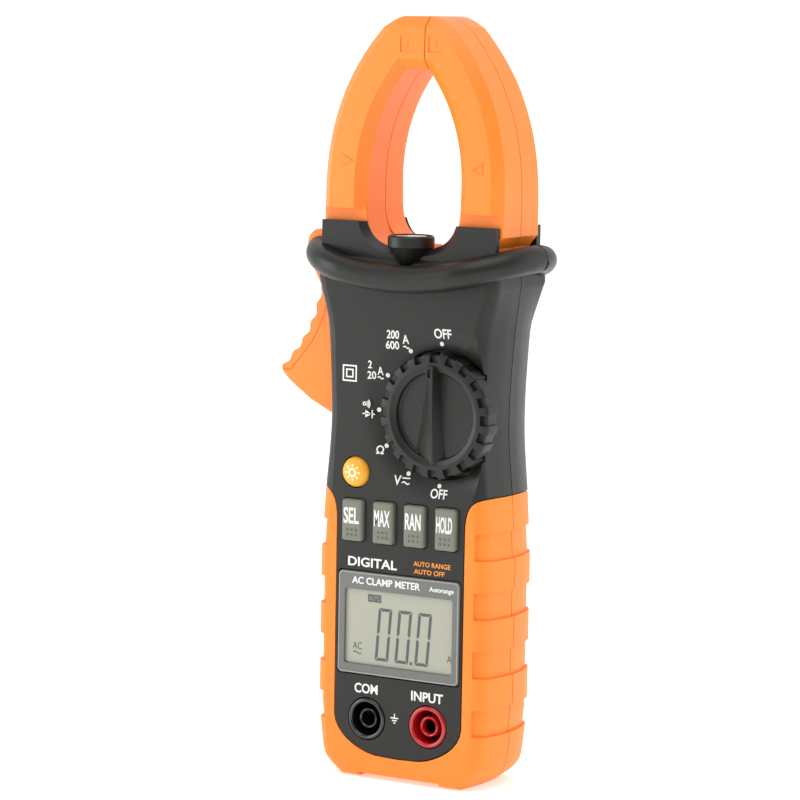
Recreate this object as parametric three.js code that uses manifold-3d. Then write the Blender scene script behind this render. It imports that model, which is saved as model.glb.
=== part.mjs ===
// Clamp meter: two sprung jaws over a hand-held case with a rotary selector,
// four keys, a display, two test-lead sockets and a jaw lamp.
// Millimetres, +X to the user's right, -Y out of the front face, +Z towards the jaws.
// The origin lies on the flat underside of the rear grip.

import * as THREE from 'three';
import { mergeVertices } from 'three/addons/utils/BufferGeometryUtils.js';
import Module from 'manifold-3d';

const wasm = await Module();
wasm.setup();

// ---------------------------------------------------------------- driving sizes
const GAP = 0.3; // clearance between two pieces that sit against each other
const CUT = 1; // how far a cutting tool runs past the surface it cuts
const CASE_DEPTH = 29; // front face to back face
const PARTING_Y = -1; // plane where the front and rear halves meet
const EDGE_ROUND = 3; // rounding of the case's long edges
const WALL = 2; // wall of the case halves
const GRIP_WALL = 2.3; // wall of the soft grips over the case

const FOOT_HALF_WIDTH = 20;
const GRIP_HALF_WIDTH = 28.3;
const SEAM_HALF_WIDTH = 27;
const WAIST_HALF_WIDTH = 25.5;
const SHOULDER_HALF_WIDTH = 28.4;
const SEAM_HEIGHT = 80; // top edge of the grips at the case's sides
const HEAD_LENGTH = 57; // from there to the shoulders under the guard
const WAIST_HEIGHT = SEAM_HEIGHT + 18;
const SHOULDER_HEIGHT = SEAM_HEIGHT + HEAD_LENGTH;
const GRIP_BOTTOM_HEIGHT = 9; // where the bottom corner meets the side
const FRONT_DRAFT = 0.09; // share of its width that the case loses at its front face
const BACK_DRAFT = 0.13; // the same at its back face
const DRAFT_STEPS = 6; // rings that carry the narrowing from front to back
const DRAFT_FADE = 12; // height over which the loss fades out below the shoulders
const COLLAR_HEIGHT = SHOULDER_HEIGHT + 6.6; // top of the side walls, inside the guard

const PANEL_HALF_WIDTH = 20.3; // dark panel left free by the grips
const PANEL_BOTTOM = 6.3;
const PANEL_SHOULDER = SEAM_HEIGHT - 5;

const PAD_COUNT = 4; // recessed finger pads on each side of each grip
const PAD_HEIGHT = 8;
const PAD_PITCH = 16;
const PAD_FIRST = 19; // centre of the lowest pad
const PAD_DEPTH = 0.8;
const PAD_FRONT_INSET = 3.4; // how far the pads reach in over the rounded edge

const PIVOT_X = 20; // jaw pivots lie this far either side of the middle
const PIVOT_Z = SHOULDER_HEIGHT + 5;
const PIN_RADIUS = 2;
const HUB_RADIUS = 5.5;
const BOSS_RADIUS = 4.4;

const CHEEK_TOP = PIVOT_Z + 10.6; // dark cheeks in front of and behind the jaw necks
const CHEEK_THICKNESS = 2.1;
const CHEEK_HALF_WIDTH = 27.2;
const SADDLE_Z = PIVOT_Z + 3.5; // lowest point of the saddle between the cheeks

const JAW_HALF_WIDTH = 28;
const WINDOW_HALF_WIDTH = 14.6; // the space that takes the conductor
const WINDOW_HEIGHT = 38; // from the jaws' feet to the top of that space
const JAW_CREST = 14; // band of jaw over the window
const JAW_FOOT = CHEEK_TOP + 3.4; // lower end of the jaws' full thickness
const WINDOW_TOP = JAW_FOOT + WINDOW_HEIGHT;
const JAW_TOP = WINDOW_TOP + JAW_CREST;
const JAW_THICKNESS = 24.2;
const JAW_NECK_THICKNESS = 19.6; // where the jaws run down between the cheeks
const JAW_TAPER = 0.149; // share of the thickness lost at the tips
const JAW_BEVEL = 2.8;
const JAW_SPLIT_X = 3.3; // the closed jaws meet here
const JAW_WALL = 2.2;
const ARM_BOTTOM = PIVOT_Z - 7.5;
const ARM_CLEARANCE_X = 7.6; // front shells stop here, beside the lamp cup

const GEAR_TEETH_FULL = 32; // tooth count of the full circle
const TOOTH_WIDTH = 1.6;
const TOOTH_HEIGHT = 1.1;
const GEAR_FACE = 4;
const GEAR_Y = 3;

const GUARD_RADIUS = 4.1;
const GUARD_HALF_WIDTH = 32.6;
const GUARD_FRONT_Y = -17.5;
const GUARD_SIDE_Z = SHOULDER_HEIGHT + 7.2;
const GUARD_DIP = 6.2;
const LEVER_SLOT_HALF = 6.4; // half height of the lever's slot across the parting plane

const LEVER_THICKNESS = 12;
const LEVER_INNER_X = -16.5; // edge that the return spring pushes on
const LEVER_SLOT_BOTTOM = PIVOT_Z - 45.5;
const WEB_HALF = 2.4; // half the thickness of the web that joins the lever to its hub

const SPRING_Z = PIVOT_Z - 28; // return spring, between the lever and a post of the rear case
const SPRING_RADIUS = 2.6;
const SPRING_TURNS = 6;
const SPRING_POST_X = 2;

const CUP_RADIUS = 6.35;
const CUP_Y = -11.3;
const CUP_TOP = PIVOT_Z + 8.3;
const CUP_BOTTOM = PIVOT_Z - 1;
const CUP_STEM_RADIUS = 3.2;

const DIAL_X = 11.4;
const DIAL_Z = SEAM_HEIGHT + 21.8;
const KNOB_RADIUS = 17;
const KNOB_FACE_RADIUS = 11.5;
const KNOB_FRONT_Y = -17.6;
const KNOB_SHAFT_RADIUS = 4;
const KNOB_NOTCHES = 20;
const DISH_WIDTH = 6.6; // sloping ring around the knob's well
const DISH_DEPTH = 1.5;
const WELL_DEPTH = 2.9;

const KEY_COUNT = 4;
const KEY_MARGIN = 1.4; // what is left over beside the row of keys
const KEY_PITCH = (2 * PANEL_HALF_WIDTH - KEY_MARGIN) / KEY_COUNT;
const KEY_WIDTH = 6.5;
const KEY_HEIGHT = 11.5;
const KEY_Z = SEAM_HEIGHT - 8.8;
const KEY_PROUD = 1.4;
const LAMP_KEY_X = -14.4;
const LAMP_KEY_Z = SEAM_HEIGHT + 4.4;
const LAMP_KEY_RADIUS = 4.1;
const LAMP_KEY_RIM = 0.9; // retaining rim behind the front wall

const WINDOW_PANE_HALF = 19.2;
const PANE_BOTTOM = 28.8;
const PANE_TOP = 57.2;
const PANE_THICKNESS = 1.5;
const LCD_HALF = 18;
const LCD_BOTTOM = 30.4;
const LCD_TOP = 52.8;
const LCD_THICKNESS = 1.5;

const SOCKET_SPACING = 19.4;
const SOCKET_Z = 16.6;
const SOCKET_RADIUS = 5.75;
const SOCKET_MOAT_RADIUS = 4.6;
const SOCKET_TUBE_RADIUS = 2.9;
const SOCKET_BORE_RADIUS = 2;
const SOCKET_LENGTH = 14;

const BOARD_Y = -6.5; // front of the circuit board
const BOARD_THICKNESS = 1.6;
const BOARD_TOP = DIAL_Z + 19.2;
const BOARD_LEVER_EDGE = -7.8; // the board stops here beside the swinging lever
const PAD_SHEET = 1; // rubber sheet under the keys

const CELL_RADIUS = 5.25;
const CELL_LENGTH = 44.5;
const CELL_COUNT = 3;
const CELL_PITCH = 2 * CELL_RADIUS + 0.7;
const CELL_BOTTOM = 29;
const COVER_THICKNESS = 2.2;
const COVER_BOTTOM = 17.5;
const COVER_TOP = 76.5;

const SCREW_RADIUS = 1.3;
const SCREW_HEAD_RADIUS = 2.5;
const POST_RADIUS = 3.1;

// ---------------------------------------------------------------- derived sizes
const FRONT_Y = -CASE_DEPTH / 2;
const BACK_Y = CASE_DEPTH / 2;
const LINER = GRIP_WALL + GAP; // how far the case sits inside the grips
const FRONT_HALF_END = PARTING_Y - GAP / 2;
const REAR_HALF_START = PARTING_Y + GAP / 2;
const PANEL_INNER_Y = FRONT_Y + LINER + WALL; // inside of the front wall under the grip
const UPPER_INNER_Y = FRONT_Y + WALL;
const REAR_PANEL_INNER_Y = BACK_Y - LINER - WALL;
const GUARD_END_RADIUS = PARTING_Y - GUARD_FRONT_Y;
const JAW_HALF_THICKNESS = JAW_THICKNESS / 2;
const NECK_HALF_THICKNESS = JAW_NECK_THICKNESS / 2;
const CHEEK_FRONT_INNER = PARTING_Y - NECK_HALF_THICKNESS - GAP;
const CHEEK_REAR_INNER = PARTING_Y + NECK_HALF_THICKNESS + GAP;
const WELL_RADIUS = KNOB_RADIUS + 0.5;
const ROTOR_RADIUS = (WAIST_HALF_WIDTH - WALL) * (1 - FRONT_DRAFT) - DIAL_X - GAP;
const WELL_FLOOR_Y = FRONT_Y + WELL_DEPTH;
const DIAL_INNER_Y = WELL_FLOOR_Y + WALL - 0.4;
const SOCKET_BACK_Y = FRONT_Y + SOCKET_LENGTH;
const KEY_FLANGE_Y = PANEL_INNER_Y + GAP;
const BOARD_BACK_Y = BOARD_Y + BOARD_THICKNESS;
const CELL_Y = BACK_Y - COVER_THICKNESS - GAP - CELL_RADIUS;
const CELL_TOP = CELL_BOTTOM + CELL_LENGTH;
const TRAY_HALF = (CELL_COUNT * CELL_PITCH) / 2 + 0.6;
const COVER_HALF_WIDTH = TRAY_HALF + 1;
const TRAY_FLOOR_Y = CELL_Y - CELL_RADIUS - GAP;
const PANE_Y = FRONT_Y - 0.5;
const LCD_Y = PANE_Y + PANE_THICKNESS + GAP;
const PITCH_RADIUS = PIVOT_X;
const LEVER_FRONT_Y = PARTING_Y - LEVER_THICKNESS / 2;
const LEVER_BACK_Y = PARTING_Y + LEVER_THICKNESS / 2;

// ---------------------------------------------------------------- finishes
const finishes = {
  darkShell: { color: 0x464742, roughness: 0.5, metalness: 0 },
  orange: { color: 0xff9938, roughness: 0.45, metalness: 0 },
  softOrange: { color: 0xff9430, roughness: 0.6, metalness: 0 },
  key: { color: 0x7e8474, roughness: 0.6, metalness: 0 },
  yellow: { color: 0xf5b93a, roughness: 0.45, metalness: 0 },
  pane: { color: 0xb5b8ac, roughness: 0.15, metalness: 0 },
  lcd: { color: 0xa9aa93, roughness: 0.3, metalness: 0 },
  white: { color: 0xe8e8e2, roughness: 0.5, metalness: 0 },
  black: { color: 0x141414, roughness: 0.3, metalness: 0 },
  red: { color: 0xc4141e, roughness: 0.3, metalness: 0 },
  brass: { color: 0xc9a557, roughness: 0.35, metalness: 1 },
  steel: { color: 0xb8bcc0, roughness: 0.35, metalness: 1 },
  iron: { color: 0x5c5f63, roughness: 0.5, metalness: 1 },
  copper: { color: 0xb8683a, roughness: 0.35, metalness: 1 },
  board: { color: 0x1f5a3a, roughness: 0.5, metalness: 0 },
  rubber: { color: 0x3a3a3a, roughness: 0.85, metalness: 0 },
  clear: { color: 0xe6ecee, roughness: 0.08, metalness: 0 },
  cell: { color: 0x2f4f7a, roughness: 0.4, metalness: 0.3 },
};

// ---------------------------------------------------------------- solid helpers
function signedVolume(positions, indices) {
  let sum = 0;
  const a = new THREE.Vector3();
  const b = new THREE.Vector3();
  const c = new THREE.Vector3();
  for (let i = 0; i < indices.length; i += 3) {
    a.fromArray(positions, indices[i] * 3);
    b.fromArray(positions, indices[i + 1] * 3);
    c.fromArray(positions, indices[i + 2] * 3);
    sum += a.dot(b.cross(c));
  }
  return sum / 6;
}

function solid(geometry) {
  geometry.deleteAttribute('normal');
  geometry.deleteAttribute('uv');
  const merged = mergeVertices(geometry, 1e-4);
  const vertProperties = new Float32Array(merged.attributes.position.array);
  const triVerts = new Uint32Array(merged.index.array);
  if (signedVolume(vertProperties, triVerts) < 0) {
    for (let i = 0; i < triVerts.length; i += 3) {
      [triVerts[i], triVerts[i + 1]] = [triVerts[i + 1], triVerts[i]];
    }
  }
  return new wasm.Manifold(new wasm.Mesh({ numProp: 3, vertProperties, triVerts }));
}

function join(...pieces) {
  return pieces.reduce((whole, piece) => whole.add(piece));
}

function cut(body, ...tools) {
  return tools.reduce((rest, tool) => rest.subtract(tool), body);
}

function box(x, y, z) {
  const geometry = new THREE.BoxGeometry(x[1] - x[0], y[1] - y[0], z[1] - z[0]);
  geometry.translate((x[0] + x[1]) / 2, (y[0] + y[1]) / 2, (z[0] + z[1]) / 2);
  return solid(geometry);
}

// A prism whose outline lies in the XZ plane; a bevel rounds its front and back edges.
function prismGeometry(outline, yRange, bevel, segments, steps) {
  const shape = new THREE.Shape(outline.map(([x, z]) => new THREE.Vector2(x, z)));
  const geometry = new THREE.ExtrudeGeometry(shape, {
    depth: yRange[1] - yRange[0] - 2 * bevel,
    steps,
    bevelEnabled: bevel > 0,
    bevelThickness: bevel,
    bevelSize: bevel,
    bevelOffset: -bevel,
    bevelSegments: segments,
  });
  geometry.rotateX(Math.PI / 2);
  geometry.translate(0, yRange[1] - bevel, 0);
  return geometry;
}

function prism(outline, yRange, bevel = 0, segments = 3) {
  return solid(prismGeometry(outline, yRange, bevel, segments, 1));
}

function rod(x, z, radius, yRange, sides = 18) {
  const length = yRange[1] - yRange[0];
  const geometry = new THREE.CylinderGeometry(radius, radius, length, sides);
  geometry.translate(x, (yRange[0] + yRange[1]) / 2, z);
  return solid(geometry);
}

// A turned piece about a line parallel to Y; each profile point is [radius, y].
function turned(profile, x, z, sides = 24) {
  const points = profile.map(([radius, y]) => new THREE.Vector2(radius, y));
  const geometry = new THREE.LatheGeometry(points, sides);
  geometry.translate(x, 0, z);
  return solid(geometry);
}

// A turned piece about a vertical line; each profile point is [radius, z].
function turnedUpright(profile, x, y, sides = 20) {
  const points = profile.map(([radius, z]) => new THREE.Vector2(radius, z));
  const geometry = new THREE.LatheGeometry(points, sides);
  geometry.rotateX(Math.PI / 2);
  geometry.translate(x, y, 0);
  return solid(geometry);
}

function swept(curve, section, steps) {
  const shape = new THREE.Shape(section);
  const options = { steps, extrudePath: curve, bevelEnabled: false };
  return solid(new THREE.ExtrudeGeometry(shape, options));
}

function circleSection(radius, sides) {
  const points = [];
  for (let i = 0; i < sides; i += 1) {
    const angle = (i / sides) * 2 * Math.PI;
    points.push(new THREE.Vector2(radius * Math.cos(angle), radius * Math.sin(angle)));
  }
  return points;
}

function bezier(from, first, second, to, steps) {
  const toVector = ([x, z]) => new THREE.Vector2(x, z);
  const curve = new THREE.CubicBezierCurve(...[from, first, second, to].map(toVector));
  return curve.getPoints(steps).map((point) => [point.x, point.y]);
}

function mirrorOutline(rightSide) {
  const leftSide = rightSide.map(([x, z]) => [-x, z]).reverse();
  return [...rightSide, ...leftSide];
}

function ring(x, z, outer, inner, yRange) {
  const hole = [yRange[0] - CUT, yRange[1] + CUT];
  return cut(rod(x, z, outer, yRange), rod(x, z, inner, hole));
}

const group = new THREE.Group();
group.name = 'clamp_meter';

function addPiece(name, body, finish) {
  const mesh = body.getMesh();
  const geometry = new THREE.BufferGeometry();
  geometry.setAttribute('position', new THREE.BufferAttribute(mesh.vertProperties, 3));
  geometry.setIndex(new THREE.BufferAttribute(mesh.triVerts, 1));
  geometry.computeVertexNormals();
  const material = new THREE.MeshStandardMaterial(finishes[finish]);
  const piece = new THREE.Mesh(geometry, material);
  piece.name = name;
  group.add(piece);
}

// ---------------------------------------------------------------- case outlines
function caseOutline(inset) {
  const waist = new THREE.SplineCurve([
    new THREE.Vector2(SEAM_HALF_WIDTH, SEAM_HEIGHT),
    new THREE.Vector2(WAIST_HALF_WIDTH, WAIST_HEIGHT),
    new THREE.Vector2((WAIST_HALF_WIDTH + SHOULDER_HALF_WIDTH) / 2 - 0.6, WAIST_HEIGHT + 21),
    new THREE.Vector2(SHOULDER_HALF_WIDTH, SHOULDER_HEIGHT),
  ]);
  const side = [
    [FOOT_HALF_WIDTH, 0],
    [GRIP_HALF_WIDTH - 2.6, GRIP_BOTTOM_HEIGHT / 2],
    [GRIP_HALF_WIDTH - 1, GRIP_BOTTOM_HEIGHT + 2],
    [GRIP_HALF_WIDTH, 20],
    [GRIP_HALF_WIDTH, 62],
    ...waist.getPoints(9).map((point) => [point.x, point.y]),
    [SHOULDER_HALF_WIDTH, COLLAR_HEIGHT],
  ];
  return mirrorOutline(side.map(([x, z]) => [x - inset, z < GRIP_BOTTOM_HEIGHT ? z + inset : z]));
}

// A slab of the case, narrowed towards its front and its back but not at the shoulders.
function caseSlab(inset, yRange, bevel = 0) {
  const geometry = prismGeometry(caseOutline(inset), yRange, bevel, 3, DRAFT_STEPS);
  const places = geometry.attributes.position;
  for (let i = 0; i < places.count; i += 1) {
    const y = places.getY(i);
    const [face, loss] = y < PARTING_Y ? [FRONT_Y, FRONT_DRAFT] : [BACK_Y, BACK_DRAFT];
    const way = (y - PARTING_Y) / (face - PARTING_Y);
    const fade = Math.min(1, Math.max(0, (SHOULDER_HEIGHT - places.getZ(i)) / DRAFT_FADE));
    places.setX(i, places.getX(i) * (1 - loss * way * way * fade));
  }
  return solid(geometry);
}

// The outline that the grips cover; gap pulls its edge away from the dark panel.
function gripOutline(gap) {
  const edge = PANEL_HALF_WIDTH - gap;
  const inner = [
    [edge + 6, SEAM_HEIGHT + gap],
    [edge + 2.3, PANEL_SHOULDER + 3.4],
    [edge + 0.3, PANEL_SHOULDER],
    [edge, PANEL_SHOULDER - 4],
    [edge, 15.5],
    [edge - 1.9, 11.9 + gap],
    [edge - 5.7, 8.9 + gap],
    [0, PANEL_BOTTOM + gap],
  ];
  const left = inner.slice(0, -1).map(([x, z]) => [-x, z]).reverse();
  const far = SHOULDER_HALF_WIDTH * 2;
  return [[far, SEAM_HEIGHT + gap], ...inner, ...left, [-far, SEAM_HEIGHT + gap], [-far, -far], [far, -far]];
}

const frontSpace = box([-200, 200], [-200, FRONT_HALF_END], [-200, 400]);
const rearSpace = box([-200, 200], [REAR_HALF_START, 200], [-200, 400]);
const aboveSeam = box([-200, 200], [-200, 200], [SEAM_HEIGHT + GAP, 400]);
const belowSeam = box([-200, 200], [-200, 200], [-200, SEAM_HEIGHT + GAP]);
const caseEnvelope = caseSlab(0, [FRONT_Y, BACK_Y], EDGE_ROUND);
const underGrip = caseSlab(LINER, [FRONT_Y + LINER, BACK_Y - LINER])
  .intersect(belowSeam);
const gripEnvelope = prism(gripOutline(0), [FRONT_Y - CUT, BACK_Y + CUT]);
const gripCutter = prism(gripOutline(GAP), [FRONT_Y - CUT, BACK_Y + CUT]);
const lowerCavity = caseSlab(LINER + WALL, [PANEL_INNER_Y, REAR_PANEL_INNER_Y]);
const upperCavity = caseSlab(WALL, [UPPER_INNER_Y, BACK_Y - WALL])
  .intersect(box([-200, 200], [-200, 200], [SEAM_HEIGHT + WALL, 400]));
const collarOpening = box(
  [WALL - SHOULDER_HALF_WIDTH, SHOULDER_HALF_WIDTH - WALL],
  [UPPER_INNER_Y, BACK_Y - WALL],
  [SHOULDER_HEIGHT, COLLAR_HEIGHT + CUT],
);
const neckSpace = box(
  [WALL - SHOULDER_HALF_WIDTH, SHOULDER_HALF_WIDTH - WALL],
  [CHEEK_FRONT_INNER, CHEEK_REAR_INNER],
  [PIVOT_Z - HUB_RADIUS - 2, 400],
);
const swingSpace = box(
  [-JAW_HALF_WIDTH - 2 * GAP, JAW_HALF_WIDTH + 2 * GAP],
  [CHEEK_FRONT_INNER, CHEEK_REAR_INNER],
  [PIVOT_Z + 2, 400],
);
const leverSlot = box(
  [-GUARD_HALF_WIDTH - GUARD_RADIUS - CUT, -PIVOT_X],
  [PARTING_Y - LEVER_SLOT_HALF, PARTING_Y + LEVER_SLOT_HALF],
  [LEVER_SLOT_BOTTOM, CHEEK_TOP],
);

// ---------------------------------------------------------------- cheeks, guard, lamp cup
function cheekOutline() {
  const saddle = bezier(
    [WINDOW_HALF_WIDTH - 0.6, CHEEK_TOP],
    [12.6, SADDLE_Z + 2.6],
    [9.2, SADDLE_Z],
    [0, SADDLE_Z],
    8,
  );
  const right = [
    [CHEEK_HALF_WIDTH, SHOULDER_HEIGHT],
    [CHEEK_HALF_WIDTH, CHEEK_TOP - 1],
    [CHEEK_HALF_WIDTH - 0.6, CHEEK_TOP],
    ...saddle,
  ];
  const left = right.slice(0, -1).map(([x, z]) => [-x, z]).reverse();
  return [...right, ...left];
}

function pivotBosses(yRange) {
  return join(rod(PIVOT_X, PIVOT_Z, BOSS_RADIUS, yRange), rod(-PIVOT_X, PIVOT_Z, BOSS_RADIUS, yRange));
}

function pinHoles(yRange) {
  const radius = PIN_RADIUS + GAP;
  return join(rod(PIVOT_X, PIVOT_Z, radius, yRange), rod(-PIVOT_X, PIVOT_Z, radius, yRange));
}

function guardPoint(angle, facing) {
  const straight = GUARD_HALF_WIDTH - GUARD_END_RADIUS;
  const quarter = GUARD_END_RADIUS * Math.PI / 2;
  const travel = angle * (straight + quarter);
  const along = Math.abs(travel);
  let x = along;
  let y = GUARD_END_RADIUS;
  if (along > straight) {
    const turn = (along - straight) / GUARD_END_RADIUS;
    x = straight + GUARD_END_RADIUS * Math.sin(turn);
    y = GUARD_END_RADIUS * Math.cos(turn);
  }
  const z = GUARD_SIDE_Z - GUARD_DIP * (1 - (x / GUARD_HALF_WIDTH) ** 2);
  return new THREE.Vector3(Math.sign(travel) * x, PARTING_Y + facing * y, z);
}

// Webs that tie the ends of the guard to the case's side walls.
function guardWebs() {
  const web = box(
    [SHOULDER_HALF_WIDTH - 1, GUARD_HALF_WIDTH - 2],
    [PARTING_Y - GUARD_END_RADIUS + 5, PARTING_Y + GUARD_END_RADIUS - 5],
    [GUARD_SIDE_Z - 3, GUARD_SIDE_Z + 1.6],
  );
  return join(web, web.mirror([1, 0, 0]));
}

// Half of the round guard: facing -1 is the front half and +1 the rear half.
function guardHalf(facing) {
  const points = [];
  const steps = 20;
  for (let i = 0; i <= steps; i += 1) {
    points.push(guardPoint(-1 + (2 * i) / steps, facing));
  }
  const curve = new THREE.CatmullRomCurve3(points);
  return swept(curve, circleSection(GUARD_RADIUS, 10), 22);
}

const cupPocketRadius = CUP_RADIUS - 0.9;
const lampCup = turnedUpright([
  [0, CUP_BOTTOM], [CUP_STEM_RADIUS, CUP_BOTTOM], [CUP_RADIUS, CUP_TOP - 3.3],
  [CUP_RADIUS, CUP_TOP], [0, CUP_TOP],
], 0, CUP_Y);
const lampPocket = turnedUpright([
  [0, CUP_TOP - 4.6], [2.4, CUP_TOP - 4.6], [2.4, CUP_TOP - 2.4],
  [cupPocketRadius, CUP_TOP - 2.4], [cupPocketRadius, CUP_TOP + CUT], [0, CUP_TOP + CUT],
], 0, CUP_Y);

// ---------------------------------------------------------------- screws and posts
const screwPlaces = [[-7, SHOULDER_HEIGHT - 9.5], [7, SHOULDER_HEIGHT - 9.5], [0, 11]];
const coverScrewZ = COVER_BOTTOM + 4.6;

function screwPosts(yRange) {
  return join(...screwPlaces.map(([x, z]) => rod(x, z, POST_RADIUS, yRange)));
}

function screwHoles(radius, yRange) {
  return join(...screwPlaces.map(([x, z]) => rod(x, z, radius, yRange)));
}

const frontPostEnd = FRONT_HALF_END;
const headSeatY = BACK_Y - 2;
const shankEndY = PARTING_Y - 6;

function screw(x, z, seatY, tipY) {
  const head = rod(x, z, SCREW_HEAD_RADIUS, [seatY, seatY + 1.5], 14);
  const shank = rod(x, z, SCREW_RADIUS, [tipY, seatY], 10);
  const slotBox = box([x - 1.4, x + 1.4], [seatY + 0.8, seatY + 2.5], [z - 0.3, z + 0.3]);
  const crossBox = box([x - 0.3, x + 0.3], [seatY + 0.8, seatY + 2.5], [z - 1.4, z + 1.4]);
  return cut(join(head, shank), slotBox, crossBox);
}

// ---------------------------------------------------------------- front case
const keyPlaces = Array.from({ length: KEY_COUNT }, (_, i) => (i - (KEY_COUNT - 1) / 2) * KEY_PITCH);
const throughWall = [FRONT_Y - 3, PANEL_INNER_Y + CUT];

function keyBox(x, margin, yRange) {
  const halfWidth = KEY_WIDTH / 2 + margin;
  const halfHeight = KEY_HEIGHT / 2 + margin;
  return box([x - halfWidth, x + halfWidth], yRange, [KEY_Z - halfHeight, KEY_Z + halfHeight]);
}

function frontCase() {
  const outer = join(cut(caseEnvelope, gripCutter), underGrip);
  let shell = cut(outer, lowerCavity, upperCavity, collarOpening);
  shell = join(
    shell,
    prism(cheekOutline(), [CHEEK_FRONT_INNER - CHEEK_THICKNESS, CHEEK_FRONT_INNER]),
    pivotBosses([FRONT_Y + WALL, CHEEK_FRONT_INNER]),
    screwPosts([FRONT_Y + WALL / 2, frontPostEnd]),
    rod(DIAL_X, DIAL_Z, WELL_RADIUS + WALL, [FRONT_Y + WALL / 2, DIAL_INNER_Y])
      .intersect(caseEnvelope),
  );
  shell = cut(join(shell, guardHalf(-1), guardWebs()), neckSpace, swingSpace);
  shell = join(shell, lampCup);
  const dish = turned([
    [0, WELL_FLOOR_Y], [WELL_RADIUS, WELL_FLOOR_Y], [WELL_RADIUS, FRONT_Y + DISH_DEPTH],
    [WELL_RADIUS + DISH_WIDTH, FRONT_Y], [WELL_RADIUS + DISH_WIDTH, FRONT_Y - CUT], [0, FRONT_Y - CUT],
  ], DIAL_X, DIAL_Z, 36);
  const pane = WINDOW_PANE_HALF + GAP;
  const lcd = LCD_HALF + GAP;
  shell = cut(
    shell,
    leverSlot,
    lampPocket,
    dish,
    rod(DIAL_X, DIAL_Z, KNOB_SHAFT_RADIUS + GAP, [FRONT_Y, DIAL_INNER_Y + CUT]),
    pinHoles([FRONT_Y + 1.6, CHEEK_FRONT_INNER + CUT]),
    screwHoles(SCREW_RADIUS + GAP, [shankEndY - 1, PARTING_Y]),
    box([-pane, pane], [PANE_Y - CUT, PANE_Y + PANE_THICKNESS + GAP], [PANE_BOTTOM - GAP, PANE_TOP + GAP]),
    box([-lcd, lcd], throughWall, [LCD_BOTTOM - GAP, LCD_TOP + GAP]),
    ...keyPlaces.map((x) => keyBox(x, GAP, throughWall)),
    rod(LAMP_KEY_X, LAMP_KEY_Z, LAMP_KEY_RADIUS + GAP, throughWall),
    rod(LAMP_KEY_X, LAMP_KEY_Z, LAMP_KEY_RADIUS + LAMP_KEY_RIM + GAP, [UPPER_INNER_Y, PANEL_INNER_Y + CUT]),
    rod(-SOCKET_SPACING / 2, SOCKET_Z, SOCKET_RADIUS + GAP, throughWall),
    rod(SOCKET_SPACING / 2, SOCKET_Z, SOCKET_RADIUS + GAP, throughWall),
  );
  return shell.intersect(frontSpace);
}

// ---------------------------------------------------------------- rear case
const trayBottom = CELL_BOTTOM - 3;
const trayTop = CELL_TOP + 3;

function rearCase() {
  const outer = join(cut(caseEnvelope, gripCutter), underGrip);
  let shell = cut(outer, lowerCavity, upperCavity, collarOpening);
  const trayOuter = box(
    [-TRAY_HALF - 1.4, TRAY_HALF + 1.4],
    [TRAY_FLOOR_Y - 1.4, REAR_PANEL_INNER_Y + CUT],
    [trayBottom - 1.4, trayTop + 1.4],
  );
  const springPost = box(
    [SPRING_POST_X, SPRING_POST_X + 3],
    [PARTING_Y + GAP, BACK_Y - WALL / 2],
    [SPRING_Z - 4, SPRING_Z + 4],
  );
  const coverPost = rod(0, coverScrewZ, POST_RADIUS, [PARTING_Y + 4, BACK_Y - COVER_THICKNESS - GAP]);
  shell = join(
    shell,
    prism(cheekOutline(), [CHEEK_REAR_INNER, CHEEK_REAR_INNER + CHEEK_THICKNESS]),
    pivotBosses([CHEEK_REAR_INNER, BACK_Y - WALL / 2]),
    screwPosts([REAR_HALF_START, BACK_Y - WALL / 2]),
    coverPost,
    trayOuter,
    springPost,
  );
  shell = cut(join(shell, guardHalf(1), guardWebs()), neckSpace, swingSpace);
  const hollow = [BACK_Y - COVER_THICKNESS - GAP, BACK_Y + CUT];
  const coverSeat = COVER_HALF_WIDTH + GAP;
  shell = cut(
    shell,
    leverSlot,
    box([-TRAY_HALF, TRAY_HALF], [TRAY_FLOOR_Y, BACK_Y + CUT], [trayBottom, trayTop]),
    box([-coverSeat, coverSeat], hollow, [COVER_BOTTOM - GAP, COVER_TOP + GAP]),
    pinHoles([CHEEK_REAR_INNER - CUT, BACK_Y - 3.9]),
    screwHoles(SCREW_RADIUS + GAP, [PARTING_Y - CUT, BACK_Y + CUT]),
    screwHoles(SCREW_HEAD_RADIUS + GAP, [headSeatY - GAP, BACK_Y + CUT]),
    rod(0, coverScrewZ, SCREW_RADIUS + GAP, [PARTING_Y + 5.5, BACK_Y + CUT]),
  );
  return shell.intersect(rearSpace);
}

// ---------------------------------------------------------------- grips
function fingerPads() {
  const pads = [];
  for (let i = 0; i < PAD_COUNT; i += 1) {
    const z = PAD_FIRST + i * PAD_PITCH;
    const pad = box(
      [-200, 200],
      [-200, 200],
      [z - PAD_HEIGHT / 2, z + PAD_HEIGHT / 2],
    );
    const inset = PAD_DEPTH;
    const core = caseSlab(inset, [FRONT_Y + inset, BACK_Y - inset], EDGE_ROUND);
    const middle = box(
      [PAD_FRONT_INSET - GRIP_HALF_WIDTH, GRIP_HALF_WIDTH - PAD_FRONT_INSET],
      [-200, 200],
      [-200, 400],
    );
    pads.push(cut(pad, core, middle));
  }
  return join(...pads);
}

function grip(space, footNotch) {
  const body = cut(
    caseEnvelope.intersect(gripEnvelope),
    caseSlab(GRIP_WALL, [FRONT_Y + GRIP_WALL, BACK_Y - GRIP_WALL]),
    fingerPads(),
    footNotch,
  );
  return body.intersect(space);
}

const frontFootNotch = box([-12.9, 12.9], [-200, PARTING_Y], [-CUT, 1.15]);
const rearFootNotch = box([-12.9, 12.9], [BACK_Y - 2, 200], [-CUT, 0.6]);

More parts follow.
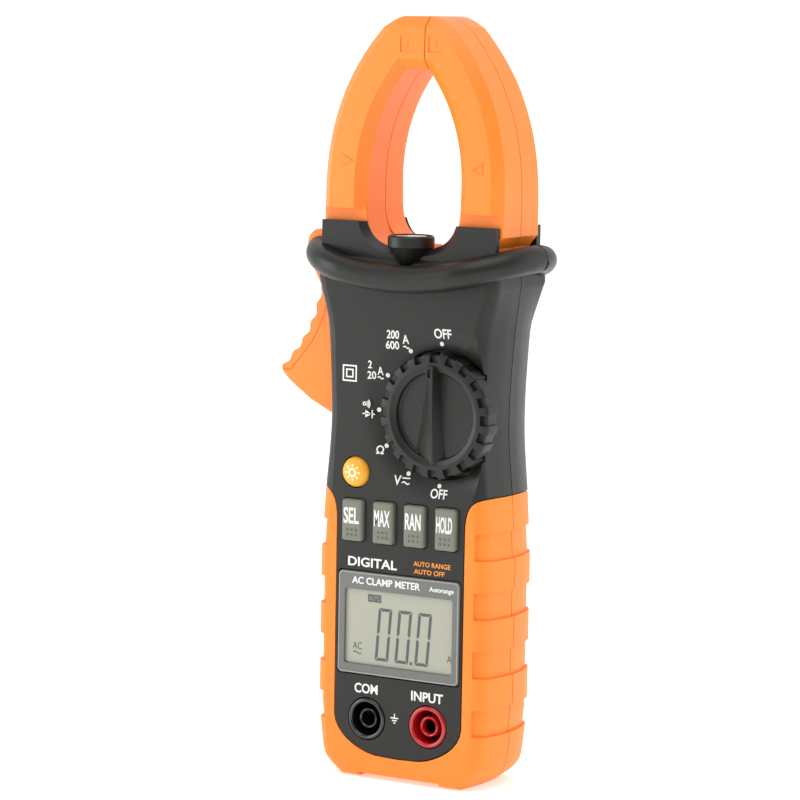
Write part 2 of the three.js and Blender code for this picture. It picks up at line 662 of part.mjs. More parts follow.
// ---------------------------------------------------------------- jaws
// The whole arch of both jaws; inset moves its outer and inner edges into the wall.
function archOutline(inset) {
  const outer = bezier(
    [JAW_HALF_WIDTH - inset, JAW_FOOT + 4],
    [JAW_HALF_WIDTH - inset, JAW_FOOT + 22],
    [JAW_HALF_WIDTH - 5 - inset, JAW_TOP - 16],
    [11 - inset / 2, JAW_TOP - 3 - inset],
    8,
  );
  const inner = bezier(
    [3.5 + inset, WINDOW_TOP + inset * 0.6],
    [WINDOW_HALF_WIDTH - 4.1 + inset, WINDOW_TOP - 8.5],
    [WINDOW_HALF_WIDTH + inset, WINDOW_TOP - 19],
    [WINDOW_HALF_WIDTH + inset, WINDOW_TOP - 31],
    8,
  );
  const foot = JAW_FOOT - 6;
  const over = [[JAW_HALF_WIDTH - inset, foot], ...outer, [6, JAW_TOP - inset]];
  const under = [...inner, [WINDOW_HALF_WIDTH + inset, foot]];
  const flip = (points) => points.map(([x, z]) => [-x, z]).reverse();
  return [...over, ...flip(over), ...flip(under), ...under];
}

// The space of one jaw: everything on its own side of the split.
function jawSpace(side) {
  const edge = JAW_SPLIT_X + (side * GAP) / 2;
  const x = side < 0 ? [-200, edge] : [edge, 200];
  return box(x, [-200, 200], [0, 400]);
}

// One half of the model: the left jaw also owns the strip between the middle and the split.
function jawSide(side) {
  const x = side < 0 ? [-200, JAW_SPLIT_X + CUT] : [JAW_SPLIT_X - CUT, 200];
  return box(x, [-200, 200], [0, 400]);
}

// Thins the jaw evenly from its foot to its tip.
function tapered(geometryBody) {
  const mesh = geometryBody.getMesh();
  const vertProperties = new Float32Array(mesh.vertProperties);
  for (let i = 0; i < vertProperties.length; i += 3) {
    const rise = Math.max(0, (vertProperties[i + 2] - JAW_FOOT) / (JAW_TOP - JAW_FOOT));
    const offset = vertProperties[i + 1] - PARTING_Y;
    vertProperties[i + 1] = PARTING_Y + offset * (1 - JAW_TAPER * rise);
  }
  const triVerts = new Uint32Array(mesh.triVerts);
  return new wasm.Manifold(new wasm.Mesh({ numProp: 3, vertProperties, triVerts }));
}

// The neck runs down from the jaw, along the saddle, to the meeting gear sectors.
function neckOutline(side, innerX) {
  const saddle = bezier(
    [WINDOW_HALF_WIDTH, JAW_FOOT + 1],
    [WINDOW_HALF_WIDTH, SADDLE_Z + 4],
    [WINDOW_HALF_WIDTH - 4, SADDLE_Z + 0.6],
    [Math.max(innerX, 1.5), SADDLE_Z + 0.4],
    8,
  );
  const right = [
    [JAW_HALF_WIDTH - 0.05, JAW_FOOT + 1],
    ...saddle,
    [Math.max(innerX, 2.2), ARM_BOTTOM],
    [PIVOT_X - 6, ARM_BOTTOM],
    [PIVOT_X, PIVOT_Z - HUB_RADIUS],
    [PIVOT_X + HUB_RADIUS * 0.75, PIVOT_Z - HUB_RADIUS * 0.75],
    [PIVOT_X + HUB_RADIUS, PIVOT_Z],
    [PIVOT_X + HUB_RADIUS, PIVOT_Z + 5],
    [JAW_HALF_WIDTH - 1, PIVOT_Z + 7],
    [JAW_HALF_WIDTH - 0.05, PIVOT_Z + 8],
  ];
  return right.map(([x, z]) => [side * x, z]);
}

// A few teeth of the sector that ties both jaws together, about the jaw's own pivot.
function gearSector(side) {
  const toothAngle = 360 / GEAR_TEETH_FULL;
  const first = side < 0 ? 0 : toothAngle / 2;
  const tipHalf = TOOTH_WIDTH / 2 - TOOTH_HEIGHT * 0.36;
  const rootHalf = TOOTH_WIDTH / 2 + (TOOTH_HEIGHT + 0.4) * 0.36;
  const teeth = [0, 1, 2].map((index) => {
    const tooth = prism([
      [PITCH_RADIUS - TOOTH_HEIGHT - 2, -rootHalf],
      [PITCH_RADIUS + TOOTH_HEIGHT, -tipHalf],
      [PITCH_RADIUS + TOOTH_HEIGHT, tipHalf],
      [PITCH_RADIUS - TOOTH_HEIGHT - 2, rootHalf],
    ], [GEAR_Y, GEAR_Y + GEAR_FACE]);
    const angle = first - index * toothAngle;
    const turn = side < 0 ? -angle : 180 + angle;
    return tooth.rotate([0, turn, 0]).translate([side * PIVOT_X, 0, PIVOT_Z]);
  });
  return join(...teeth);
}

const leverPlate = leverOutlinePrism(0);

function leverOutlinePrism(margin) {
  const waves = [];
  const top = [-31.4, PIVOT_Z - 8];
  const bottom = [-44, PIVOT_Z - 31];
  const count = 5;
  for (let i = 0; i <= count * 4; i += 1) {
    const t = i / (count * 4);
    const bow = 2.2 * Math.sin(Math.PI * t);
    const wave = 0.55 * Math.cos(2 * Math.PI * count * t) - 0.55;
    const x = top[0] + (bottom[0] - top[0]) * t;
    const z = top[1] + (bottom[1] - top[1]) * t;
    waves.push([x + (bow - wave) * 0.86 - margin, z - (bow - wave) * 0.5]);
  }
  const jawSide = -PIVOT_X - HUB_RADIUS - GAP;
  const outline = [
    [jawSide + margin, PIVOT_Z + 7.4 + margin],
    [-31, PIVOT_Z + 7.6 + margin],
    [-35.4 - margin, PIVOT_Z + 5.4 + margin],
    [-36.8 - margin, PIVOT_Z + 2],
    [-33.6 - margin, PIVOT_Z - 4],
    ...waves,
    [-43.4 - margin, PIVOT_Z - 33.6 - margin],
    [-40.6, PIVOT_Z - 36 - margin],
    [-34, PIVOT_Z - 40 - margin],
    [-26.4, PIVOT_Z - 43.6 - margin],
    [-21 + margin, PIVOT_Z - 43.6 - margin],
    [LEVER_INNER_X + margin, PIVOT_Z - 34],
    [LEVER_INNER_X + margin, PIVOT_Z - 14],
    [-19.6 + margin, PIVOT_Z - HUB_RADIUS - GAP - 0.5],
    [jawSide + margin, PIVOT_Z - HUB_RADIUS + 1.2],
  ];
  return prism(outline, [LEVER_FRONT_Y - margin, LEVER_BACK_Y + margin]);
}

function leverWeb(margin) {
  const y = [PARTING_Y - WEB_HALF - margin, PARTING_Y + WEB_HALF + margin];
  const hub = rod(-PIVOT_X, PIVOT_Z, HUB_RADIUS - 0.6 + margin, y);
  const web = box(
    [-PIVOT_X - HUB_RADIUS - 3, -PIVOT_X + margin],
    y,
    [PIVOT_Z - HUB_RADIUS + 1 - margin, PIVOT_Z + HUB_RADIUS - 1 + margin],
  );
  const stem = box(
    [-PIVOT_X - 4, -PIVOT_X + 2 + margin],
    y,
    [PIVOT_Z - HUB_RADIUS - 6, PIVOT_Z],
  );
  return join(hub, web, stem);
}

function trigger() {
  const hubSpace = rod(-PIVOT_X, PIVOT_Z, HUB_RADIUS + GAP, [-100, 100]);
  const neckSpace = box(
    [-PIVOT_X - HUB_RADIUS - GAP, 0], [-100, 100], [PIVOT_Z - HUB_RADIUS / 2, 400],
  );
  const lever = cut(leverPlate, hubSpace, neckSpace);
  const pinHole = rod(-PIVOT_X, PIVOT_Z, PIN_RADIUS + GAP, [-100, 100]);
  return cut(join(lever, leverWeb(0)), pinHole);
}

const coreInset = JAW_WALL + GAP;
const coreHalf = 6.2;

function jawShell(side, space, innerX, withGear) {
  const jawY = [PARTING_Y - JAW_HALF_THICKNESS, PARTING_Y + JAW_HALF_THICKNESS];
  const arch = prism(archOutline(0), jawY, JAW_BEVEL, 1).intersect(jawSpace(side));
  const trimmed = arch.intersect(box([-200, 200], [-200, 200], [JAW_FOOT, 400]));
  const neck = prism(
    neckOutline(side, innerX),
    [PARTING_Y - NECK_HALF_THICKNESS, PARTING_Y + NECK_HALF_THICKNESS],
  );
  const rootCircle = rod(side * PIVOT_X, PIVOT_Z, PITCH_RADIUS - TOOTH_HEIGHT - 0.5, [-100, 100], 64);
  const neckInReach = neck.intersect(join(rootCircle, box([-200, 200], [-200, 200], [PIVOT_Z + 4.2, 400])));
  let body = join(tapered(trimmed), neckInReach);
  if (withGear) {
    body = join(body, gearSector(side));
  }
  const coreHalfSpace = coreHalf + GAP + 0.4;
  const hollowY = [PARTING_Y - coreHalfSpace, PARTING_Y + coreHalfSpace];
  const hollow = prism(archOutline(JAW_WALL), hollowY)
    .intersect(box([-200, 200], [-200, 200], [CHEEK_TOP + 0.4, 400]))
    .intersect(jawSide(side));
  const pinHole = rod(side * PIVOT_X, PIVOT_Z, PIN_RADIUS + GAP, [-100, 100]);
  body = cut(body, hollow, pinHole);
  if (side < 0) {
    body = cut(body, leverWeb(GAP), leverPlateSpace());
  }
  return body.intersect(space);
}

function leverPlateSpace() {
  return leverOutlinePrism(GAP).intersect(box([-200, -PIVOT_X - HUB_RADIUS], [-100, 100], [0, 400]));
}

function jawCore(side) {
  const body = prism(archOutline(coreInset), [PARTING_Y - coreHalf, PARTING_Y + coreHalf]);
  return body.intersect(box([-200, 200], [-200, 200], [CHEEK_TOP + 0.8, 400])).intersect(jawSpace(side));
}

// ---------------------------------------------------------------- return spring

function jawSpring() {
  const startX = LEVER_INNER_X + GAP + 0.4;
  const endX = SPRING_POST_X - GAP - 0.4;
  const points = [];
  const perTurn = 9;
  for (let i = 0; i <= SPRING_TURNS * perTurn; i += 1) {
    const angle = (i / perTurn) * 2 * Math.PI;
    const share = i / (SPRING_TURNS * perTurn);
    points.push(new THREE.Vector3(
      startX + (endX - startX) * share,
      PARTING_Y + GAP * 6 + SPRING_RADIUS * Math.cos(angle),
      SPRING_Z + SPRING_RADIUS * Math.sin(angle),
    ));
  }
  const curve = new THREE.CatmullRomCurve3(points);
  return swept(curve, circleSection(0.4, 5), SPRING_TURNS * perTurn);
}

// ---------------------------------------------------------------- selector
function selectorKnob() {
  const base = WELL_FLOOR_Y - GAP;
  const body = turned([
    [0, KNOB_FRONT_Y + 2], [KNOB_FACE_RADIUS, KNOB_FRONT_Y + 2],
    [KNOB_FACE_RADIUS + 0.7, KNOB_FRONT_Y + 0.4],
    [KNOB_FACE_RADIUS + 1.3, KNOB_FRONT_Y], [KNOB_RADIUS - 1, KNOB_FRONT_Y + 0.3],
    [KNOB_RADIUS, KNOB_FRONT_Y + 1.3], [KNOB_RADIUS, base],
    [KNOB_SHAFT_RADIUS, base], [KNOB_SHAFT_RADIUS, DIAL_INNER_Y], [0, DIAL_INNER_Y],
  ], DIAL_X, DIAL_Z, 40);
  const bar = prism([
    [DIAL_X - 1.5, DIAL_Z + KNOB_FACE_RADIUS + 1.6],
    [DIAL_X - 4.4, DIAL_Z - KNOB_FACE_RADIUS - 0.6],
    [DIAL_X + 4.4, DIAL_Z - KNOB_FACE_RADIUS - 0.6],
    [DIAL_X + 1.5, DIAL_Z + KNOB_FACE_RADIUS + 1.6],
  ], [KNOB_FRONT_Y - 1.1, KNOB_FRONT_Y + 3], 0.9, 1);
  const notches = [];
  for (let i = 0; i < KNOB_NOTCHES; i += 1) {
    const angle = (i / KNOB_NOTCHES) * 360;
    const notch = box(
      [KNOB_RADIUS - 1.3, KNOB_RADIUS + CUT],
      [KNOB_FRONT_Y - CUT, KNOB_FRONT_Y + 3.6],
      [-1.2, 1.2],
    );
    notches.push(notch.rotate([0, angle, 0]).translate([DIAL_X, 0, DIAL_Z]));
  }
  return cut(join(body, bar), ...notches);
}

function selectorRotor() {
  const front = DIAL_INNER_Y + GAP;
  const disc = rod(DIAL_X, DIAL_Z, ROTOR_RADIUS, [front, BOARD_Y - 1.4]);
  const wiper = box([DIAL_X - 1, DIAL_X + 1], [BOARD_Y - 1.8, BOARD_Y - GAP], [DIAL_Z + 5, DIAL_Z + 10]);
  return join(disc, wiper, wiper.translate([0, 0, -15]));
}

// ---------------------------------------------------------------- keys
function key(x) {
  const cap = prism(
    roundedBox(x, KEY_Z, KEY_WIDTH, KEY_HEIGHT, 0.8),
    [FRONT_Y - KEY_PROUD, KEY_FLANGE_Y + 0.1],
  );
  const flange = keyBox(x, 0.6, [KEY_FLANGE_Y, KEY_FLANGE_Y + 0.6]);
  return join(cap, flange);
}

function roundedBox(x, z, width, height, radius) {
  const points = [];
  const corners = [[1, 1, 0], [-1, 1, 90], [-1, -1, 180], [1, -1, 270]];
  for (const [sx, sz, start] of corners) {
    for (let step = 0; step <= 2; step += 1) {
      const angle = ((start + step * 45) * Math.PI) / 180;
      points.push([
        x + sx * (width / 2 - radius) + radius * Math.cos(angle),
        z + sz * (height / 2 - radius) + radius * Math.sin(angle),
      ]);
    }
  }
  return points;
}

function lampKey() {
  const front = FRONT_Y - 1.9;
  return turned([
    [0, front], [LAMP_KEY_RADIUS * 0.6, front + 0.2], [LAMP_KEY_RADIUS * 0.9, front + 0.8],
    [LAMP_KEY_RADIUS, front + 1.6], [LAMP_KEY_RADIUS, UPPER_INNER_Y + GAP],
    [LAMP_KEY_RADIUS + LAMP_KEY_RIM, UPPER_INNER_Y + GAP],
    [LAMP_KEY_RADIUS + LAMP_KEY_RIM, UPPER_INNER_Y + GAP + 0.7],
    [1.4, UPPER_INNER_Y + GAP + 0.7], [1.4, BOARD_Y - 2.7], [0, BOARD_Y - 2.7],
  ], LAMP_KEY_X, LAMP_KEY_Z, 18);
}

// ---------------------------------------------------------------- sockets
function socket(x) {
  const front = FRONT_Y - 0.5;
  const body = turned([
    [SOCKET_BORE_RADIUS, front + 1], [SOCKET_TUBE_RADIUS, front + 1],
    [SOCKET_TUBE_RADIUS, SOCKET_BACK_Y - 3], [SOCKET_MOAT_RADIUS, SOCKET_BACK_Y - 3],
    [SOCKET_MOAT_RADIUS, front], [SOCKET_RADIUS - 0.4, front], [SOCKET_RADIUS, front + 0.4],
    [SOCKET_RADIUS, SOCKET_BACK_Y], [SOCKET_BORE_RADIUS + 0.65, SOCKET_BACK_Y],
    [SOCKET_BORE_RADIUS + 0.65, front + 3], [SOCKET_BORE_RADIUS, front + 3],
    [SOCKET_BORE_RADIUS, front + 1],
  ], x, SOCKET_Z, 20);
  return body;
}

function socketContact(x) {
  const front = FRONT_Y + 2.8;
  const outer = SOCKET_BORE_RADIUS + 0.35;
  const barrel = ring(x, SOCKET_Z, outer, SOCKET_BORE_RADIUS, [front, SOCKET_BACK_Y + 0.9]);
  const plate = rod(x, SOCKET_Z, SOCKET_RADIUS - 1, [SOCKET_BACK_Y + GAP, SOCKET_BACK_Y + 1.1]);
  const tab = box(
    [x - 1.5, x + 1.5],
    [SOCKET_BACK_Y + GAP, SOCKET_BACK_Y + 1.1],
    [SOCKET_Z, trayBottom - 2.2],
  );
  return join(barrel, cut(join(plate, tab), rod(x, SOCKET_Z, SOCKET_BORE_RADIUS, [-100, 100])));
}

// ---------------------------------------------------------------- electronics
function mainBoard() {
  const yRange = [BOARD_Y, BOARD_BACK_Y];
  const outline = caseSlab(LINER + WALL + 0.6, yRange);
  const boardBottom = SOCKET_Z + SOCKET_RADIUS + 1.2;
  const lower = outline.intersect(box([-200, 200], [-100, 100], [boardBottom, SEAM_HEIGHT + 10]));
  const upper = caseSlab(WALL + 0.8, yRange)
    .intersect(box([BOARD_LEVER_EDGE, 200], [-100, 100], [SEAM_HEIGHT + 8, BOARD_TOP]));
  return join(lower, upper);
}

function lcdHolder() {
  const y = [LCD_Y + LCD_THICKNESS + GAP, BOARD_Y - GAP];
  const outer = box([-LCD_HALF + 0.5, LCD_HALF - 0.5], y, [LCD_BOTTOM + 4, LCD_TOP - 0.5]);
  const inner = box([-LCD_HALF + 2, LCD_HALF - 2], [-100, 100], [LCD_BOTTOM + 5.5, LCD_TOP - 2]);
  return cut(outer, inner);
}

// ---------------------------------------------------------------- power
function cell(x) {
  const body = turnedUpright([
    [0, CELL_BOTTOM], [CELL_RADIUS - 0.4, CELL_BOTTOM], [CELL_RADIUS, CELL_BOTTOM + 0.4],
    [CELL_RADIUS, CELL_TOP - 1.6], [CELL_RADIUS - 0.6, CELL_TOP - 1], [1.9, CELL_TOP - 1],
    [1.9, CELL_TOP], [0, CELL_TOP],
  ], x, CELL_Y, 16);
  return body;
}

function batteryCover() {
  const y = [BACK_Y - COVER_THICKNESS, BACK_Y];
  const height = COVER_TOP - COVER_BOTTOM;
  const middle = (COVER_TOP + COVER_BOTTOM) / 2;
  const plate = prism(roundedBox(0, middle, COVER_HALF_WIDTH * 2, height, 2), y);
  const grooves = [];
  for (let i = 0; i < 5; i += 1) {
    const z = COVER_TOP - 8 - i * 2.2;
    grooves.push(box([-9, 9], [BACK_Y - 0.6, BACK_Y + CUT], [z, z + 1.1]));
  }
  return cut(
    plate,
    ...grooves,
    rod(0, coverScrewZ, SCREW_RADIUS + GAP, [0, BACK_Y + CUT]),
    rod(0, coverScrewZ, SCREW_HEAD_RADIUS + GAP, [BACK_Y - 1.5 - GAP, BACK_Y + CUT]),
  );
}

// ---------------------------------------------------------------- assembly
addPiece('front_case', frontCase(), 'darkShell');
addPiece('rear_case', rearCase(), 'darkShell');
addPiece('front_grip', grip(frontSpace, frontFootNotch), 'softOrange');
addPiece('rear_grip', grip(rearSpace, rearFootNotch), 'softOrange');
addPiece('battery_cover', batteryCover(), 'darkShell');
addPiece('battery_cover_screw', screw(0, coverScrewZ, BACK_Y - 1.5, PARTING_Y + 6.5), 'steel');
screwPlaces.forEach(([x, z], i) => {
  addPiece(`case_screw_${i + 1}`, screw(x, z, headSeatY, shankEndY), 'steel');
});

for (const [name, side] of [['left', -1], ['right', 1]]) {
  addPiece(`${name}_jaw_front`, jawShell(side, frontSpace, ARM_CLEARANCE_X, false), 'orange');
  addPiece(`${name}_jaw_rear`, jawShell(side, rearSpace, 0, true), 'orange');
  addPiece(`${name}_jaw_core`, jawCore(side), 'iron');
  const pin = rod(side * PIVOT_X, PIVOT_Z, PIN_RADIUS, [FRONT_Y + 2, BACK_Y - 4.2], 20);
  addPiece(`${name}_pivot_pin`, pin, 'steel');
}
addPiece('trigger', trigger(), 'orange');
addPiece('jaw_spring', jawSpring(), 'steel');

addPiece('lamp_lens', turnedUpright([
  [0, CUP_TOP - 1.7], [cupPocketRadius - GAP, CUP_TOP - 1.7],
  [cupPocketRadius - GAP, CUP_TOP - 0.7], [0, CUP_TOP - 0.4],
], 0, CUP_Y), 'clear');
addPiece('lamp_led', turnedUpright([
  [0, CUP_TOP - 4.3], [2.1, CUP_TOP - 4.3], [2.1, CUP_TOP - 3.2], [1.4, CUP_TOP - 2.2], [0, CUP_TOP - 2],
], 0, CUP_Y, 20), 'clear');

addPiece('selector_knob', selectorKnob(), 'darkShell');
addPiece('selector_rotor', selectorRotor(), 'white');
['select', 'maximum', 'range', 'hold'].forEach((name, i) => {
  addPiece(`${name}_key`, key(keyPlaces[i]), 'key');
});
addPiece('key_pad', box(
  [keyPlaces[0] - 4, keyPlaces[KEY_COUNT - 1] + 4],
  [BOARD_Y - GAP - PAD_SHEET, BOARD_Y - GAP],
  [KEY_Z - 7, KEY_Z + 7],
), 'rubber');
addPiece('lamp_key', lampKey(), 'yellow');
addPiece('lamp_switch', box(
  [LAMP_KEY_X - 3, LAMP_KEY_X + 3],
  [BOARD_Y - 1.5, BOARD_Y - GAP],
  [LAMP_KEY_Z - 3, LAMP_KEY_Z + 3],
), 'black');

addPiece('display_window', prism(
  roundedBox(0, (PANE_TOP + PANE_BOTTOM) / 2, WINDOW_PANE_HALF * 2, PANE_TOP - PANE_BOTTOM, 1),
  [PANE_Y, PANE_Y + PANE_THICKNESS], 0.4, 1,
), 'pane');
addPiece(
  'lcd_panel',
  box([-LCD_HALF, LCD_HALF], [LCD_Y, LCD_Y + LCD_THICKNESS], [LCD_BOTTOM, LCD_TOP]),
  'lcd',
);
addPiece('lcd_holder', lcdHolder(), 'white');
addPiece('backlight', box(
  [-LCD_HALF + 2.4, LCD_HALF - 2.4],
  [LCD_Y + LCD_THICKNESS + GAP, LCD_Y + LCD_THICKNESS + GAP + 1.8],
  [LCD_BOTTOM + 6, LCD_TOP - 2.4],
), 'white');
addPiece('zebra_strip', box(
  [-LCD_HALF + 1, LCD_HALF - 1],
  [LCD_Y + LCD_THICKNESS + GAP, BOARD_Y - GAP],
  [LCD_BOTTOM + 1, LCD_BOTTOM + 3.4],
), 'rubber');
addPiece('main_board', mainBoard(), 'board');
addPiece('buzzer', rod(0, 62, 6, [BOARD_BACK_Y + GAP, TRAY_FLOOR_Y - 1.4 - GAP], 24), 'black');

for (const [name, x, finish] of [['com', -1, 'black'], ['input', 1, 'red']]) {
  addPiece(`${name}_socket`, socket((x * SOCKET_SPACING) / 2), finish);
  addPiece(`${name}_contact`, socketContact((x * SOCKET_SPACING) / 2), 'brass');
}

for (let i = 0; i < CELL_COUNT; i += 1) {
  addPiece(`battery_${i + 1}`, cell((i - (CELL_COUNT - 1) / 2) * CELL_PITCH), 'cell');
}
addPiece('battery_contact_top', box(
  [-TRAY_HALF + GAP, TRAY_HALF - GAP], [CELL_Y - 3.5, CELL_Y + 3.5], [CELL_TOP + GAP, CELL_TOP + GAP + 0.5],
), 'steel');
addPiece('battery_contact_bottom', box(
  [-TRAY_HALF + GAP, TRAY_HALF - GAP],
  [CELL_Y - 3.5, CELL_Y + 3.5],
  [CELL_BOTTOM - GAP - 0.5, CELL_BOTTOM - GAP],
), 'steel');

export default group;
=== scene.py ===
"""Looks of the clamp meter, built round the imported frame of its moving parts.

Lengths in the classes are millimetres, in the frame's own axes: +X to the user's right,
-Y out of the front face and +Z towards the jaws. The helpers turn them into metres.
"""
from __future__ import annotations

import logging
import math
from dataclasses import dataclass, field
from enum import Enum
from typing import Iterable, Sequence

import bmesh
import bpy
from mathutils import Matrix, Vector

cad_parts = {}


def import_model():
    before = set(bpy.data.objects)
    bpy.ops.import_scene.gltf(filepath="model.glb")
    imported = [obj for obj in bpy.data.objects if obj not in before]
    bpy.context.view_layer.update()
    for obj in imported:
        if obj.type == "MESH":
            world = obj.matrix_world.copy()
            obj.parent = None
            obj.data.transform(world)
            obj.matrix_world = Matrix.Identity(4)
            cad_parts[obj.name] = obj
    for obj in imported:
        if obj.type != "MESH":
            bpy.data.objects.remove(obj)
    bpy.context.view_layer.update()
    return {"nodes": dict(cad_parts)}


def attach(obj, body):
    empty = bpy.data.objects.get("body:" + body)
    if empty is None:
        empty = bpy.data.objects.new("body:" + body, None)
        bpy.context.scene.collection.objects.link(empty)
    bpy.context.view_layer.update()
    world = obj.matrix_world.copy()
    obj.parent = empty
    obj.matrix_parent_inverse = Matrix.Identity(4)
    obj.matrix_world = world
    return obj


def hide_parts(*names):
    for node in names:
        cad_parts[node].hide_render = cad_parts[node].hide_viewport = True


LOG = logging.getLogger("clamp_meter")
MM = 0.001
Point = tuple[float, float]
Outline = list[Point]
Colour = tuple[float, float, float]


class Body(Enum):
    """The moving bodies of the frame."""

    CASE = "case"
    LEFT_JAW = "left_jaw"
    RIGHT_JAW = "right_jaw"
    SELECTOR = "selector"
    SELECT_BUTTON = "select_button"
    MAXIMUM_BUTTON = "maximum_button"
    RANGE_BUTTON = "range_button"
    HOLD_BUTTON = "hold_button"
    LAMP_BUTTON = "lamp_button"


class Cut(Enum):
    """How a tool changes a piece."""

    AWAY = "DIFFERENCE"
    KEEP = "INTERSECT"
    JOIN = "UNION"


class Side(Enum):
    """Which way something faces from the middle of the meter."""

    LEFT = -1
    RIGHT = 1

    @property
    def word(self) -> str:
        """The side's name in lower case."""
        return self.name.lower()


class Half(Enum):
    """The front or the rear half of a piece that is parted down its edge."""

    FRONT = -1
    REAR = 1

    @property
    def word(self) -> str:
        """The half's name in lower case."""
        return self.name.lower()


# ------------------------------------------------------------------ driving sizes
@dataclass(frozen=True)
class Sizes:
    """Driving sizes that several sub-assemblies share, in millimetres."""

    gap: float = 0.3
    depth: float = 29.0
    parting_y: float = -1.0
    edge_round: float = 3.0
    wall: float = 2.0
    grip_wall: float = 2.3
    foot_half: float = 20.0
    grip_half: float = 28.3
    seam_half: float = 27.0
    waist_half: float = 25.5
    shoulder_half: float = 28.4
    seam_z: float = 80.0
    waist_z: float = 98.0
    shoulder_z: float = 137.0
    grip_bottom_z: float = 9.0
    collar_z: float = 143.6
    panel_half: float = 20.3
    panel_bottom: float = 6.3
    pivot_x: float = 20.0
    pivot_z: float = 142.0
    hub_radius: float = 5.5
    cheek_top: float = 152.6
    cheek_thick: float = 2.1
    cheek_half: float = 27.2
    saddle_z: float = 145.5
    window_half: float = 14.6
    neck_half: float = 9.8
    lever_slot_half: float = 6.4
    lever_slot_bottom: float = 96.5
    far: float = 120.0
    front_draft: float = 0.09
    back_draft: float = 0.13
    draft_fade: float = 12.0

    @property
    def front_y(self) -> float:
        """Place along Y of the front face."""
        return -self.depth / 2

    @property
    def back_y(self) -> float:
        """Place along Y of the back face."""
        return self.depth / 2


    @property
    def neck_space(self) -> Point:
        """Front and back of the space for the jaw necks, between the cheeks."""
        reach = self.neck_half + self.gap
        return self.parting_y - reach, self.parting_y + reach

    @property
    def lever_slot(self) -> Point:
        """Front and back of the slot that the lever swings in."""
        return self.parting_y - self.lever_slot_half, self.parting_y + self.lever_slot_half


S = Sizes()


# ------------------------------------------------------------------ outline helpers
def mirrored(right: Outline) -> Outline:
    """Closes an outline by adding its mirror image.

    Args:
        right: Points of the right-hand side, from bottom to top.

    Returns:
        The whole outline, anticlockwise.
    """
    return [*right, *[(-x, z) for x, z in reversed(right)]]


def flipped(points: Outline, side: Side) -> Outline:
    """Gives the outline for a side, from one drawn on the right."""
    return [(x * side.value, z) for x, z in points]


def bezier(a: Point, b: Point, c: Point, d: Point, steps: int) -> Outline:
    """Samples a cubic curve.

    Args:
        a: Start.
        b: First handle.
        c: Second handle.
        d: End.
        steps: How many straight steps to use.

    Returns:
        steps + 1 points.
    """
    points = []
    for i in range(steps + 1):
        t = i / steps
        u = 1 - t
        weights = (u**3, 3 * u * u * t, 3 * u * t * t, t**3)
        points.append(tuple(sum(w * p[k] for w, p in zip(weights, (a, b, c, d))) for k in (0, 1)))
    return points


def through(points: Outline, steps: int) -> Outline:
    """Samples a smooth curve that passes through every point.

    Args:
        points: Points that the curve passes.
        steps: Straight steps between each pair of points.

    Returns:
        The sampled curve.
    """
    padded = [points[0], *points, points[-1]]
    out = []
    for i in range(1, len(padded) - 2):
        p0, p1, p2, p3 = padded[i - 1 : i + 3]
        for j in range(steps):
            t = j / steps
            out.append(tuple(
                0.5 * (2 * p1[k] + (p2[k] - p0[k]) * t
                       + (2 * p0[k] - 5 * p1[k] + 4 * p2[k] - p3[k]) * t * t
                       + (3 * p1[k] - p0[k] - 3 * p2[k] + p3[k]) * t**3)
                for k in (0, 1)
            ))
    out.append(points[-1])
    return out


def arc(centre: Point, radius: float, start: float, end: float, steps: int) -> Outline:
    """Samples an arc.

    Args:
        centre: Centre of the arc.
        radius: Its radius.
        start: First angle in degrees.
        end: Last angle in degrees.
        steps: How many straight steps to use.

    Returns:
        steps + 1 points.
    """
    points = []
    for i in range(steps + 1):
        angle = math.radians(start + (end - start) * i / steps)
        points.append((centre[0] + radius * math.cos(angle), centre[1] + radius * math.sin(angle)))
    return points


def rounded_box(centre: Point, width: float, height: float, radius: float, steps: int = 5) -> Outline:
    """Outline of a rectangle with round corners.

    Args:
        centre: Middle of the rectangle.
        width: Size along X.
        height: Size along Z.
        radius: Corner radius.
        steps: Straight steps in each corner.

    Returns:
        The outline, anticlockwise.
    """
    points = []
    for turn, (sx, sz) in enumerate(((1, 1), (-1, 1), (-1, -1), (1, -1))):
        corner = (centre[0] + sx * (width / 2 - radius), centre[1] + sz * (height / 2 - radius))
        points.extend(arc(corner, radius, 90 * turn, 90 * turn + 90, steps))
    return points


